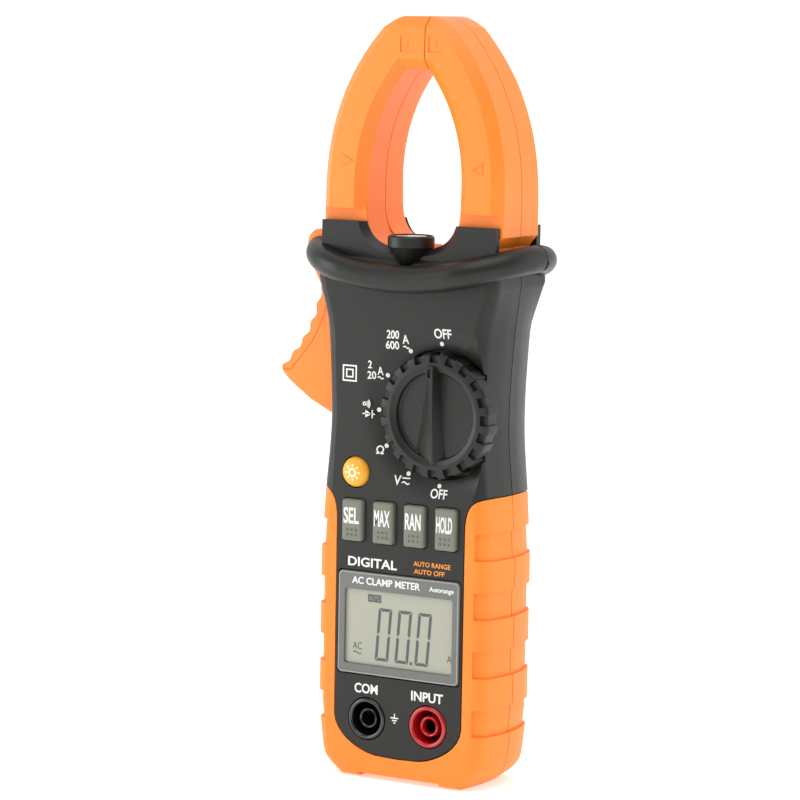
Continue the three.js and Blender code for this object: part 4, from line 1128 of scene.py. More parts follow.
    def build_front(self) -> None:
        """Builds the front half with its lamp cup, dial well and openings."""
        body = self.shell(Half.FRONT)
        top = self.cup_top
        cup = Bench.turned("cup", [(0, 141.1), (3.2, 141.1), (self.cup_radius - 0.5, top - 3.7),
                                   (self.cup_radius, top - 3.1), (self.cup_radius, top - 0.5),
                                   (self.cup_radius - 0.5, top), (0, top)], (0, self.cup_y, 0), 64, True)
        Bench.shape(body, Cut.JOIN, cup)
        hollow = [(0, top - 4.6), (2.4, top - 4.6), (2.4, top - 2.4), (5.45, top - 2.4), (5.45, top - 0.3),
                  (5.8, top + 0.1), (0, top + 0.1)]
        pocket = Bench.turned("pocket", hollow, (0, self.cup_y, 0), 64, True)
        x, z = self.dial
        rim = self.well_radius
        far = rim + self.dish_width
        sink = [(0, self.well_floor), (rim, self.well_floor), (rim, S.front_y + 2.0),
                (rim + 0.25, S.front_y + self.dish_depth), (far, S.front_y), (far + 0.5, S.front_y - 0.1),
                (far + 0.5, S.front_y - 1), (0, S.front_y - 1)]
        dish = Bench.turned("dish", sink, (x, 0, z), 128)
        through_wall = (S.front_y - 3, S.front_y + 5)
        tools = [
            pocket, dish, Bench.rod("shaft", self.dial, 4.3, (S.front_y, -9)),
            Bench.prism("pane seat", rounded_box((0, 43), 39, 29, 1.2), (S.front_y - 1, S.front_y + 1.3)),
            Bench.box("lcd", (-18.3, 18.3), through_wall, (30.1, 53.1)),
            Bench.rod("lamp key", (-14.4, 84.4), 4.45, through_wall),
            *[Bench.prism("key", rounded_box((KEY_PITCH * (i - 1.5), KEY_Z), 7.1, 12.1, 1.0), through_wall)
              for i in range(4)],
            *[Bench.rod("socket", (9.7 * side.value, 16.6), 6.0, through_wall) for side in Side],
        ]
        Bench.shape(body, Cut.AWAY, *tools)
        Bench.soften(body, 0.22, 40)
        self.builder.place(body, Body.CASE, "dark shell", "front_case")
        lens = Bench.turned("lamp_glass", [(0, 148.4), (self.lens_radius, 148.2), (self.lens_radius, 149.1),
                                           (3.6, 149.35), (0, 149.4)], (0, self.cup_y, 0), 48, True)
        self.builder.place(Bench.soften(lens, 0), Body.CASE, "clear lens", "lamp_lens")

    def build_rear(self) -> None:
        """Builds the rear half with the battery opening and screw recesses."""
        body = self.shell(Half.REAR)
        cover = (S.back_y - 2.5, S.back_y + 1)
        screws = [(-7, 127.5), (7, 127.5), (0, 11)]
        Bench.shape(
            body, Cut.AWAY,
            Bench.prism("cover seat", rounded_box((0, 47), 37.4, 59.6, 1.5), cover),
            Bench.box("tray", (-17.4, 17.4), (1.2, S.back_y), (26, 76.4)),
            *[Bench.rod("screw", spot, 3.3, (S.back_y - 2.3, S.back_y + 1)) for spot in screws],
        )
        Bench.soften(body, 0.22, 40)
        self.builder.place(body, Body.CASE, "dark shell", "rear_case")

    def build(self) -> None:
        """Builds both halves."""
        self.build_front()
        self.build_rear()


KEY_PITCH = 9.8
KEY_Z = 71.2


# ------------------------------------------------------------------ grips
@dataclass
class Grips:
    """The two orange grips that wrap the lower case, with finger pads down each side."""

    builder: Builder
    pad_z: tuple[float, ...] = (19.0, 35.0, 51.0, 67.0)
    pad_height: float = 8.0
    pad_depth: float = 0.8
    pad_reach: float = 23.2

    def pads(self) -> bpy.types.Object:
        """Makes the tool that sinks every finger pad."""
        tall = self.pad_height / 2
        slabs = []
        for z in self.pad_z:
            slope = 1.1
            slab = [(5, z - tall + slope), (60, z - tall - slope),
                    (60, z + tall + slope), (5, z + tall - slope)]
            slabs.append(Bench.prism("pad", flipped(slab, Side.RIGHT), (-30, 30)))
            slabs.append(Bench.prism("pad", flipped(slab, Side.LEFT)[::-1], (-30, 30)))
        tool = Bench.join("pads", slabs)
        deep = self.pad_depth
        core = case_slab("core", deep, (S.front_y + deep, S.back_y - deep), S.edge_round)
        middle = Bench.box("middle", (-self.pad_reach, self.pad_reach), (-40, 40), (-10, 200))
        return Bench.shape(tool, Cut.AWAY, core, middle)

    def build(self) -> None:
        """Builds the front and the rear grip."""
        for half in Half:
            front = half is Half.FRONT
            split = S.parting_y + half.value * S.gap / 2
            y = (S.front_y, split) if front else (split, S.back_y)
            body = case_slab(f"grip_{half.word}", 0, y, S.edge_round, "front" if front else "back")
            Bench.shape(body, Cut.KEEP, Bench.prism("zone", grip_zone(0), (-30, 30)))
            inner = case_slab("inner", S.grip_wall, (S.front_y + S.grip_wall, S.back_y - S.grip_wall))
            foot = Bench.box("foot", (-12.9, 12.9), (-40, S.parting_y) if front else (12.5, 40),
                             (-1, 1.15 if front else 0.6))
            Bench.shape(body, Cut.AWAY, inner, self.pads(), foot)
            Bench.soften(body, 0.45, 28, 3)
            self.builder.place(body, Body.CASE, "soft orange", f"{half.word}_grip")


# ------------------------------------------------------------------ jaws
@dataclass
class Jaws:
    """The four orange shells of the jaws, with their marks and meeting gear teeth."""

    builder: Builder
    mark_size: tuple[float, float] = (4.4, 4.2)
    mark_depth: float = 0.25
    gear_y: tuple[float, float] = (3.0, 7.0)

    def taper(self, x: float, y: float, z: float) -> tuple[float, float, float]:
        """Thins the jaw evenly from its foot to its tip."""
        rise = max(0.0, (z - JAW.foot) / (JAW.top - JAW.foot))
        return x, S.parting_y + (y - S.parting_y) * (1 - JAW.taper * rise), z

    def face_y(self, z: float) -> float:
        """Front face of the jaw at a height."""
        return self.taper(0, S.parting_y - JAW.half_thick, z)[1]

    def neck(self, side: Side, inner: float) -> bpy.types.Object:
        """Builds the neck between the cheeks.

        Args:
            side: Which jaw.
            inner: How near to the middle it reaches.

        Returns:
            The neck.
        """
        saddle = bezier((S.window_half, JAW.foot + 1), (S.window_half, S.saddle_z + 4),
                        (S.window_half - 4, S.saddle_z + 0.6), (max(inner, 1.5), S.saddle_z + 0.4), 14)
        x, z, hub = S.pivot_x, S.pivot_z, S.hub_radius
        outline = [(JAW.half_width - 0.05, JAW.foot + 1), *saddle,
                   (max(inner, 2.2), z - 7.5), (x - 6, z - 7.5), *arc((x, z), hub, -90, 0, 8),
                   (x + hub, z + 5), (27.0, z + 7), (27.95, z + 8)]
        y = (S.parting_y - S.neck_half, S.parting_y + S.neck_half)
        neck = Bench.prism("neck", flipped(outline, side), y, 0.5, 2)
        reach = Bench.rod("reach", (x * side.value, z), 18.4, (-50, 50), 96)
        Bench.shape(reach, Cut.JOIN, Bench.box("above", (-S.far, S.far), (-49, 49), (z + 4.2, 200)))
        return Bench.shape(neck, Cut.KEEP, reach)

    def teeth(self, side: Side) -> list[bpy.types.Object]:
        """Makes the few gear teeth that meet the other jaw's."""
        pitch = 360 / 36
        shift = 0 if side is Side.LEFT else pitch / 2
        made = []
        for index in range(3):
            turn = math.radians(shift - index * pitch) * -side.value
            shape = [(17.0, -1.35), (21.4, -0.45), (21.4, 0.45), (17.0, 1.35)]
            points = []
            for r, w in shape:
                px, pz = r * -side.value, w
                points.append((side.value * S.pivot_x + px * math.cos(turn) - pz * math.sin(turn),
                               S.pivot_z + px * math.sin(turn) + pz * math.cos(turn)))
            made.append(Bench.prism("tooth", points, self.gear_y))
        return made

    def marks(self, side: Side) -> list[bpy.types.Object]:
        """Makes the tool for the sunk square with its bolt on the jaw's face."""
        x = -2.2 if side is Side.LEFT else 6.6
        z = 200.6
        wide, tall = self.mark_size
        face = self.face_y(z)
        square = Bench.box("square", (x - wide / 2, x + wide / 2), (face - 2, face + self.mark_depth),
                           (z - tall / 2, z + tall / 2))
        bolt = [(0.25, 1.0), (-0.5, -0.1), (-0.03, -0.1), (-0.25, -1.0), (0.5, 0.22), (0.03, 0.22)]
        raised_y = (face + self.mark_depth - 0.12, face + 1)
        raised = Bench.prism("bolt", [(x + a, z + b) for a, b in bolt], raised_y)
        Bench.shape(square, Cut.AWAY, raised)
        return [square]

    def arrow(self, side: Side) -> bpy.types.Object:
        """Makes the raised arrow that points along the face."""
        if side is Side.LEFT:
            points, closed = [(-21.6, 170.5), (-18.2, 168.9), (-21.6, 167.4)], False
        else:
            points, closed = [(22.3, 169.6), (19.2, 167.9), (22.3, 166.4)], True
        face = self.face_y(168.5)
        arrow = Printer.ribbon(f"jaw_arrow_{side.word}", points, 0.32, face, 0.22, closed)
        return Bench.soften(arrow, 0.08)

    def build(self) -> None:
        """Builds the shells of both jaws."""
        full = (S.parting_y - JAW.half_thick, S.parting_y + JAW.half_thick)
        for side in Side:
            edge = JAW.split_x + side.value * S.gap / 2
            own = (-S.far, edge) if side is Side.LEFT else (edge, S.far)
            body = Body.LEFT_JAW if side is Side.LEFT else Body.RIGHT_JAW
            for half in Half:
                front = half is Half.FRONT
                split = S.parting_y + half.value * S.gap / 2
                shell = Bench.prism(f"jaw_{side.word}_{half.word}", arch_outline(0), full, JAW.chamfer, 1)
                Bench.shape(shell, Cut.KEEP, Bench.box("own", own, (-50, 50), (JAW.foot, 300)))
                Bench.move_points(shell, self.taper)
                inner = 7.6 if front else 0.2
                Bench.shape(shell, Cut.JOIN, self.neck(side, inner))
                if not front:
                    Bench.shape(shell, Cut.JOIN, *self.teeth(side))
                reach = JAW.core_half + S.gap + 0.4
                core_y = (S.parting_y - reach, S.parting_y + reach)
                hollow = Bench.prism("hollow", arch_outline(JAW.wall), core_y)
                limit = (-S.far, JAW.split_x + 1) if side is Side.LEFT else (JAW.split_x - 1, S.far)
                Bench.shape(hollow, Cut.KEEP, Bench.box("limit", limit, (-50, 50), (S.cheek_top + 0.4, 300)))
                tools = [hollow, Bench.rod("pin", (side.value * S.pivot_x, S.pivot_z), 2.3, (-50, 50))]
                tools.append(Bench.box("half", (-60, 60), (split, 50) if front else (-50, split), (100, 300)))
                if side is Side.LEFT:
                    tools += Trigger.clearance()
                if front:
                    tools += self.marks(side)
                Bench.shape(shell, Cut.AWAY, *tools)
                Bench.soften(shell, 0.3, 26, 3)
                self.builder.place(shell, body, "jaw orange", f"{side.word}_jaw_{half.word}")
            arrow = self.arrow(side)
            self.builder.place(arrow, body, "jaw orange")


# ------------------------------------------------------------------ trigger
@dataclass
class Trigger:
    """The orange lever beside the case, with a scalloped thumb edge."""

    builder: Builder
    scallops: int = 5
    band_width: float = 3.3
    band_depth: float = 0.25
    groove_width: float = 0.5
    groove_depth: float = 0.45

    @staticmethod
    def edge(margin: float, depth: float, count: int = 5, steps: int = 10) -> Outline:
        """The scalloped edge from top to bottom.

        Args:
            margin: How far to stand away from the lever.
            depth: Depth of the scallops.
            count: How many there are.
            steps: Steps in each.

        Returns:
            Points of the edge.
        """
        top, bottom = (-31.4, S.pivot_z - 8), (-44.0, S.pivot_z - 31)
        points = []
        for i in range(count * steps + 1):
            t = i / (count * steps)
            bow = 2.2 * math.sin(math.pi * t)
            wave = depth * math.cos(2 * math.pi * count * t) - depth
            x = top[0] + (bottom[0] - top[0]) * t
            z = top[1] + (bottom[1] - top[1]) * t
            points.append((x + (bow - wave) * 0.86 - margin, z - (bow - wave) * 0.5))
        return points

    @staticmethod
    def outline(margin: float) -> Outline:
        """Outline of the lever's plate.

        Args:
            margin: How far to stand away from it.

        Returns:
            The outline.
        """
        side = -S.pivot_x - S.hub_radius - S.gap
        z = S.pivot_z
        m = margin
        tail = bezier((-44 - m, z - 31), (-44.3 - m, z - 33.4 - m), (-40, z - 36 - m), (-34, z - 40 - m), 8)
        return [(side + m, z + 7.4 + m), (-31, z + 7.6 + m),
                *bezier((-33.5 - m, z + 7.2 + m), (-36 - m, z + 6), (-37.6 - m, z + 2.5),
                        (-33.6 - m, z - 4), 6),
                *Trigger.edge(m, 0.42), *tail[1:], (-26.4, z - 43.6 - m), (-21 + m, z - 43.6 - m),
                (-16.5 + m, z - 34), (-16.5 + m, z - 14), (-19.6 + m, z - S.hub_radius - S.gap - 0.5),
                (side + m, z - S.hub_radius + 1.2)]

    @staticmethod
    def web(margin: float) -> list[bpy.types.Object]:
        """Makes the blocks that tie the lever to its hub, grown by a margin."""
        y = (S.parting_y - 2.4 - margin, S.parting_y + 2.4 + margin)
        x, z, hub = -S.pivot_x, S.pivot_z, S.hub_radius
        return [Bench.rod("hub", (x, z), hub - 0.6 + margin, y),
                Bench.box("web", (x - hub - 3, x + margin), y, (z - hub + 1 - margin, z + hub - 1 + margin)),
                Bench.box("stem", (x - 4, x + 2 + margin), y, (z - hub - 6, z))]

    @staticmethod
    def clearance() -> list[bpy.types.Object]:
        """Makes the tools that keep the jaw's neck clear of the lever."""
        gap = S.gap
        plate_y = (JAW.lever_front - gap, JAW.lever_back + gap)
        plate = Bench.prism("plate space", Trigger.outline(gap), plate_y)
        out = Bench.box("out", (-S.far, -S.pivot_x - S.hub_radius), (-50, 50), (0, 300))
        Bench.shape(plate, Cut.KEEP, out)
        return [*Trigger.web(gap), plate]

    def build(self) -> None:
        """Builds the lever with its sunk thumb band."""
        y = (JAW.lever_front, JAW.lever_back)
        lever = Bench.prism("trigger_lever", self.outline(0), y, 0.0)
        Bench.soften(lever, 1.1, 50, 4)
        outer = [(x - 4, z) for x, z in self.edge(0, 0)][::-1]
        inner = [(x + self.band_width, z - 0.6) for x, z in self.edge(0, 0)]
        inner = [(x, z) for x, z in inner if S.pivot_z - 30.5 < z < S.pivot_z - 11.5]
        start = bezier((-35, S.pivot_z - 7.6), (-29.6, S.pivot_z - 7.6), (-29.2, S.pivot_z - 8.6),
                       inner[0], 6)
        end = bezier(inner[-1], (inner[-1][0] - 1.2, S.pivot_z - 33), (-42.6, S.pivot_z - 32.4),
                     (-48, S.pivot_z - 30.4), 6)
        band = [*start[:-1], *inner, *end[1:], *[p for p in outer if p[1] > S.pivot_z - 29]]
        recess = Bench.prism("band", band, (JAW.lever_front - 2, JAW.lever_front + self.band_depth))
        groove = Printer.ribbon("groove", [*start[:-1], *inner, *end[1:]], self.groove_width,
                                JAW.lever_front + self.groove_depth - 0.02, 2.0)
        Bench.shape(lever, Cut.AWAY, groove)
        x, z = -S.pivot_x, S.pivot_z
        Bench.shape(lever, Cut.AWAY, recess, Bench.rod("hub", (x, z), S.hub_radius + S.gap, (-50, 50)),
                    Bench.box("neck", (x - S.hub_radius - S.gap, 0), (-50, 50), (z - S.hub_radius / 2, 300)))
        Bench.shape(lever, Cut.JOIN, *self.web(0))
        Bench.shape(lever, Cut.AWAY, Bench.rod("pin", (x, z), 2.3, (-50, 50)))
        Bench.soften(lever, 0.18, 40)
        self.builder.place(lever, Body.LEFT_JAW, "jaw orange", "trigger")


# ------------------------------------------------------------------ printing
class Printer:
    """Makes flat printed marks that lie just proud of a face."""

    THICK = 0.05

    @staticmethod
    def ribbon(
        name: str, path: Sequence[Point], width: float, y: float, thick: float = THICK, closed: bool = False,
    ) -> bpy.types.Object:
        """Makes a flat strip of even width along a path in the XZ plane.

        Args:
            name: Name of the piece.
            path: Points of its middle line.
            width: Width of the strip.
            y: Place along Y of the face that it lies on.
            thick: How proud it stands.
            closed: Whether the path is a loop.

        Returns:
            The new object.
        """
        count = len(path)
        sides: list[tuple[Point, Point]] = []
        for i, (x, z) in enumerate(path):
            before = path[i - 1] if closed or i else path[i]
            after = path[(i + 1) % count] if closed or i < count - 1 else path[i]
            a, b = Vector((x, z)) - Vector(before), Vector(after) - Vector((x, z))
            if a.length == 0:
                a = b
            if b.length == 0:
                b = a
            mean = (a.normalized() + b.normalized()).normalized()
            reach = width / 2 / max(0.35, mean.dot(b.normalized()))
            off = Vector((-mean.y, mean.x)) * reach
            sides.append(((x + off.x, z + off.y), (x - off.x, z - off.y)))
        bm = bmesh.new()
        rails = [[bm.verts.new((p[k][0] * MM, (y + 0.02) * MM, p[k][1] * MM)) for p in sides] for k in (0, 1)]
        spans = range(count if closed else count - 1)
        faces = []
        for i in spans:
            j = (i + 1) % count
            faces.append(bm.faces.new((rails[0][i], rails[0][j], rails[1][j], rails[1][i])))
        grown = bmesh.ops.extrude_face_region(bm, geom=faces)["geom"]
        moved = [item for item in grown if isinstance(item, bmesh.types.BMVert)]
        bmesh.ops.translate(bm, verts=moved, vec=(0, -(thick + 0.02) * MM, 0))
        return Bench.keep(name, bm)

    @staticmethod
    def text(
        words: str, at: Point, height: float, width: float, y: float, bold: float = 0.018,
    ) -> bpy.types.Object:
        """Makes printed words.

        Args:
            words: The words.
            at: Their middle in X and Z.
            height: Height of the words.
            width: Width of the words.
            y: Place along Y of the face.
            bold: How much fatter the strokes are, against the letter height.

        Returns:
            The new object.
        """
        curve = bpy.data.curves.new("words", "FONT")
        curve.body = words
        curve.align_x = "CENTER"
        curve.align_y = "CENTER"
        curve.size = 1.0
        curve.offset = bold
        curve.resolution_u = 4
        curve.extrude = 0.5
        piece = Bench.to_mesh("words", curve)
        spots = [vertex.co for vertex in piece.data.vertices]
        low = Vector([min(spot[k] for spot in spots) for k in range(3)])
        high = Vector([max(spot[k] for spot in spots) for k in range(3)])
        middle = (low + high) / 2
        size = Matrix.Diagonal((width / (high.x - low.x), height / (high.y - low.y), Printer.THICK, 1))
        turn = Matrix.Rotation(math.pi / 2, 4, "X")
        place = Matrix.Translation((at[0] * MM, (y - Printer.THICK / 2) * MM, at[1] * MM))
        piece.data.transform(place @ turn @ Matrix.Scale(MM, 4) @ size @ Matrix.Translation(-middle))
        return piece

    @staticmethod
    def dot(at: Point, radius: float, y: float) -> bpy.types.Object:
        """Makes a printed dot."""
        return Bench.rod("dot", at, radius, (y - Printer.THICK, y + 0.02), 20)

    @staticmethod
    def wave(at: Point, width: float, tall: float, thick: float, y: float) -> bpy.types.Object:
        """Makes a printed wavy line, the sign for alternating current."""
        path = []
        for i in range(17):
            t = i / 16
            path.append((at[0] + (t - 0.5) * width, at[1] + tall / 2 * math.sin(2 * math.pi * t)))
        return Printer.ribbon("wave", path, thick, y)


@dataclass
class Printing:
    """All words and signs on the front of the case."""

    builder: Builder
    dial: Point = (11.4, 101.8)
    dish_outer: float = 24.1
    dish_inner: float = 17.75
    dish_depth: float = 1.5

    def drape(self, piece: bpy.types.Object) -> bpy.types.Object:
        """Lays a printed piece on the dish around the knob."""
        slope = self.dish_depth / (self.dish_outer - self.dish_inner)

        def lay(x: float, y: float, z: float) -> tuple[float, float, float]:
            """Moves one point back onto the dish."""
            reach = math.hypot(x - self.dial[0], z - self.dial[1])
            return x, y + max(0.0, self.dish_outer - reach) * slope, z

        Bench.move_points(piece, lay)
        return piece

    def dial_marks(self) -> list[bpy.types.Object]:
        """Makes the words, dots and signs around the dial."""
        y = S.front_y
        marks = []
        for turn in range(0, 181, 30):
            angle = math.radians(90 + turn)
            spot = (self.dial[0] + 19.35 * math.cos(angle), self.dial[1] + 19.2 * math.sin(angle))
            marks.append(self.drape(Printer.dot(spot, 0.62, y)))
        words = [("OFF", (12.0, 123.8), 2.7, 5.4), ("OFF", (11.6, 80.5), 2.6, 5.2),
                 ("200", (-3.3, 122.7), 2.3, 3.9), ("600", (-3.5, 119.8), 2.3, 3.9),
                 ("A", (0.5, 121.6), 2.5, 1.9), ("2", (-10.4, 114.1), 2.1, 1.2),
                 ("20", (-9.9, 111.2), 2.2, 2.5), ("A", (-7.4, 112.5), 2.3, 1.7),
                 ("Ω", (-7.1, 91.0), 2.3, 2.2), ("V", (-1.3, 83.2), 2.6, 2.1)]
        marks += [self.drape(Printer.text(text, at, tall, wide, y)) for text, at, tall, wide in words]
        waves = [((0.5, 119.4), 1.7), ((-7.4, 110.6), 1.6), ((1.2, 82.6), 2.3)]
        marks += [self.drape(Printer.wave(at, wide, 0.55, 0.36, y)) for at, wide in waves]
        marks.append(self.drape(Printer.ribbon("line", [(0.0, 83.9), (2.4, 83.9)], 0.36, y)))
        marks.append(Printer.ribbon("ring", arc((-12.0, 103.3), 0.42, 0, 345, 15), 0.26, y, closed=True))
        for radius in (0.9, 1.35, 1.8):
            bow = arc((-12.0, 103.3), radius, -38, 38, 6)
            marks.append(Printer.ribbon("bow", bow, 0.25, y))
        marks.append(Bench.prism("arrow", [(-11.6, 101.6), (-9.6, 100.6), (-11.6, 99.6)],
                                 (y - Printer.THICK, y + 0.02)))
        marks.append(Printer.ribbon("bar", [(-9.45, 101.7), (-9.45, 99.5)], 0.32, y))
        marks.append(Printer.ribbon("lead", [(-12.5, 100.6), (-8.6, 100.6)], 0.3, y))
        return marks

    def panel_marks(self) -> list[bpy.types.Object]:
        """Makes the other white words and signs of the case."""
        y = S.front_y
        marks = [Printer.text("DIGITAL", (-8.6, 59.8), 2.6, 15.6, y, 0.022),
                 Printer.text("COM", (-10.0, 24.9), 2.7, 7.4, y, 0.022),
                 Printer.text("INPUT", (9.4, 24.7), 2.7, 10.0, y, 0.022)]
        for half in (1.0, 2.05):
            square = [(-16.8 - half, 111.3 - half), (-16.8 + half, 111.3 - half),
                      (-16.8 + half, 111.3 + half), (-16.8 - half, 111.3 + half)]
            marks.append(Printer.ribbon("square", square, 0.42, y, closed=True))
        marks.append(Printer.ribbon("stem", [(-0.8, 19.0), (-0.8, 17.9)], 0.3, y))
        for width, z in ((2.5, 17.8), (1.5, 17.1), (0.6, 16.45)):
            marks.append(Printer.ribbon("bar", [(-0.8 - width / 2, z), (-0.8 + width / 2, z)], 0.34, y))
        return marks

    def build(self) -> None:
        """Prints everything on the case."""
        white = Bench.join("print_white", [*self.dial_marks(), *self.panel_marks()])
        self.builder.place(white, Body.CASE, "print white")
        small = [Printer.text("AUTO RANGE", (10.2, 61.0), 1.35, 11.6, S.front_y),
                 Printer.text("AUTO OFF", (9.4, 58.9), 1.35, 9.6, S.front_y)]
        self.builder.place(Bench.join("print_orange", small), Body.CASE, "print orange")


# ------------------------------------------------------------------ selector
@dataclass
class Selector:
    """The turning knob: notched rim, sunk face and wedge-shaped pointer bar."""

    builder: Builder
    centre: Point = (11.4, 101.8)
    radius: float = 17.0
    face_radius: float = 11.6
    front: float = -17.6
    face_y: float = -15.6
    base_y: float = -11.9
    notches: int = 20

    def disc(self) -> bpy.types.Object:
        """Turns the disc with its raised rim."""
        r, f = self.radius, self.front
        profile = [(0, self.face_y), (self.face_radius - 0.5, self.face_y),
                   (self.face_radius, self.face_y - 0.3),
                   (self.face_radius + 0.25, f + 0.75), (self.face_radius + 0.7, f + 0.45),
                   (self.face_radius + 1.3, f + 0.38), (self.face_radius + 1.6, f + 0.12),
                   (self.face_radius + 2.0, f), (r - 0.9, f + 0.25), (r - 0.3, f + 0.6), (r, f + 1.3),
                   (r, self.base_y), (4, self.base_y), (4, -8.0), (0, -8.0)]
        return Bench.turned("selector_dial", profile, (self.centre[0], 0, self.centre[1]), 120)

    def notch_tool(self, inner: float, depth: float) -> bpy.types.Object:
        """Makes the tool for one ring of notches.

        Args:
            inner: Radius at which they start.
            depth: Their depth from the rim's face.

        Returns:
            The tool.
        """
        tools = []
        x, z = self.centre
        half = 1.3
        for index in range(self.notches):
            turn = 2 * math.pi * index / self.notches
            corners = [(inner, -half), (18, -half), (18, half), (inner, half)]
            across, up = math.cos(turn), math.sin(turn)
            spots = [(x + r * across - w * up, z + r * up + w * across) for r, w in corners]
            tools.append(Bench.prism("notch", spots, (self.front - 1, self.front + depth)))
        return Bench.join("notches", tools)

    def bar(self) -> bpy.types.Object:
        """Builds the wedge-shaped pointer bar with its ridge right of the middle."""
        x, z = self.centre
        base = self.face_y + 0.3
        sections = [
            (z - 13.0, (-4.6, 4.2), (-0.2, 0.5), self.front + 0.05),
            (z - 11.0, (-6.6, 3.4), (-0.2, 0.4), self.front - 0.35),
            (z, (-4.8, 2.0), (-0.3, 0.3), self.front - 0.9),
            (z + 9.6, (-3.1, 1.2), (-0.9, 0.35), self.front - 1.1),
            (z + 11.4, (-2.6, 1.1), (-1.9, 0.35), self.front - 1.1),
            (z + 13.6, (-2.3, 1.0), (-1.8, 0.3), self.front - 0.8),
        ]
        bm = bmesh.new()
        rings = []
        for height, feet, ridge, crest in sections:
            spots = [(feet[0], base), (ridge[0], crest), (ridge[1], crest), (feet[1], base)]
            rings.append([bm.verts.new(((x + sx) * MM, sy * MM, height * MM)) for sx, sy in spots])
        for low, high in zip(rings, rings[1:]):
            for i in range(4):
                j = (i + 1) % 4
                bm.faces.new((low[i], low[j], high[j], high[i]))
        bm.faces.new(rings[0])
        bm.faces.new(rings[-1][::-1])
        return Bench.keep("bar", bm)

    def build(self) -> None:
        """Builds the knob."""
        knob = self.disc()
        Bench.shape(knob, Cut.AWAY, self.notch_tool(14.5, 1.35), self.notch_tool(16.4, 8.0))
        Bench.soften(knob, 0.14, 40)
        self.builder.place(knob, Body.SELECTOR, "dark shell", "selector_knob")
        x, z = self.centre
        bar = self.bar()
        pocket = Bench.prism("pocket", [(x - 0.75 + 0.55 * math.cos(a / 12 * math.pi),
                                         z + 11.6 + 1.25 * math.sin(a / 12 * math.pi)) for a in range(24)],
                             (-22, self.front - 0.5))
        Bench.shape(bar, Cut.AWAY, pocket)
        bar.name = "selector_bar"
        Bench.soften(bar, 0.35, 20, 3)
        self.builder.place(bar, Body.SELECTOR, "dark shell")


# ------------------------------------------------------------------ keys
@dataclass
class Keys:
    """The four grey-green keys and the round yellow lamp key."""

    builder: Builder
    width: float = 6.5
    height: float = 11.5
    front: float = -15.9
    words: tuple[str, ...] = ("SEL", "MAX", "RAN", "HOLD")
    names: tuple[str, ...] = ("select", "maximum", "range", "hold")
    lamp: Point = (-14.4, 84.4)
    lamp_radius: float = 4.1

    def key(self, index: int) -> None:
        """Builds one key with its word and dots.

        Args:
            index: Its place from the left.
        """
        name = self.names[index]
        body = Body(f"{name}_button")
        x = KEY_PITCH * (index - 1.5)
        cap = Bench.prism(f"{name}_cap", rounded_box((x, KEY_Z), self.width, self.height, 0.85, 6),
                          (self.front, -9.3), 0.75, 5, "front")
        rim = rounded_box((x, KEY_Z), self.width + 1, self.height + 1, 0.9)
        flange = Bench.prism("flange", rim, (-9.6, -9.0))
        Bench.shape(cap, Cut.JOIN, flange)
        Bench.soften(cap, 0)
        self.builder.place(cap, body, "key rubber", f"{name}_key")
        word = Printer.text(self.words[index], (x - 0.1, KEY_Z + 1.3), 4.5, 4.9, self.front, 0.022)
        word.name = f"{name}_word"
        self.builder.place(word, body, "print white")
        dots = []
        for row in range(2):
            for column in range(3):
                spot = (x + (column - 1) * 1.35, KEY_Z - 2.6 - row * 1.35)
                dots.append(Bench.turned("dot", [(0, -0.22), (0.25, -0.17), (0.42, 0.05), (0, 0.05)],
                                         (spot[0], self.front, spot[1]), 12))
        pips = Bench.join(f"{name}_pips", dots)
        pips.data.polygons.foreach_set("use_smooth", [True] * len(pips.data.polygons))
        self.builder.place(pips, body, "key pips")

    def lamp_button(self) -> None:
        """Builds the lamp key with its sun sign."""
        x, z = self.lamp
        r, f = self.lamp_radius, -16.4
        profile = [(0, f), (1.2, f + 0.05), (2.2, f + 0.2), (3.0, f + 0.5), (3.5, f + 0.85), (3.85, f + 1.3),
                   (r, f + 1.9), (r, -12.2), (r + 0.9, -12.2), (r + 0.9, -11.5), (1.4, -11.5), (1.4, -9.2),
                   (0, -9.2)]
        cap = Bench.turned("lamp_cap", profile, (x, 0, z), 64)
        Bench.soften(cap, 0)
        self.builder.place(cap, Body.LAMP_BUTTON, "yellow key", "lamp_key")
        marks = [Printer.ribbon("sun", arc((x, z), 1.0, 0, 345, 23), 0.45, f, closed=True)]
        for turn in range(0, 360, 45):
            angle = math.radians(turn)
            near, far = 1.55, 2.35
            ray = [(x + reach * math.cos(angle), z + reach * math.sin(angle)) for reach in (near, far)]
            marks.append(Printer.ribbon("ray", ray, 0.4, f))
        sun = Bench.join("lamp_sun", marks)

        def lay(px: float, py: float, pz: float) -> tuple[float, float, float]:
            """Lays one point on the domed cap."""
            reach = math.hypot(px - x, pz - z)
            return px, py + 0.042 * reach * reach - 0.01, pz

        Bench.move_points(sun, lay)
        self.builder.place(sun, Body.LAMP_BUTTON, "sun white")

    def build(self) -> None:
        """Builds every key."""
        for index in range(len(self.names)):
            self.key(index)
        self.lamp_button()


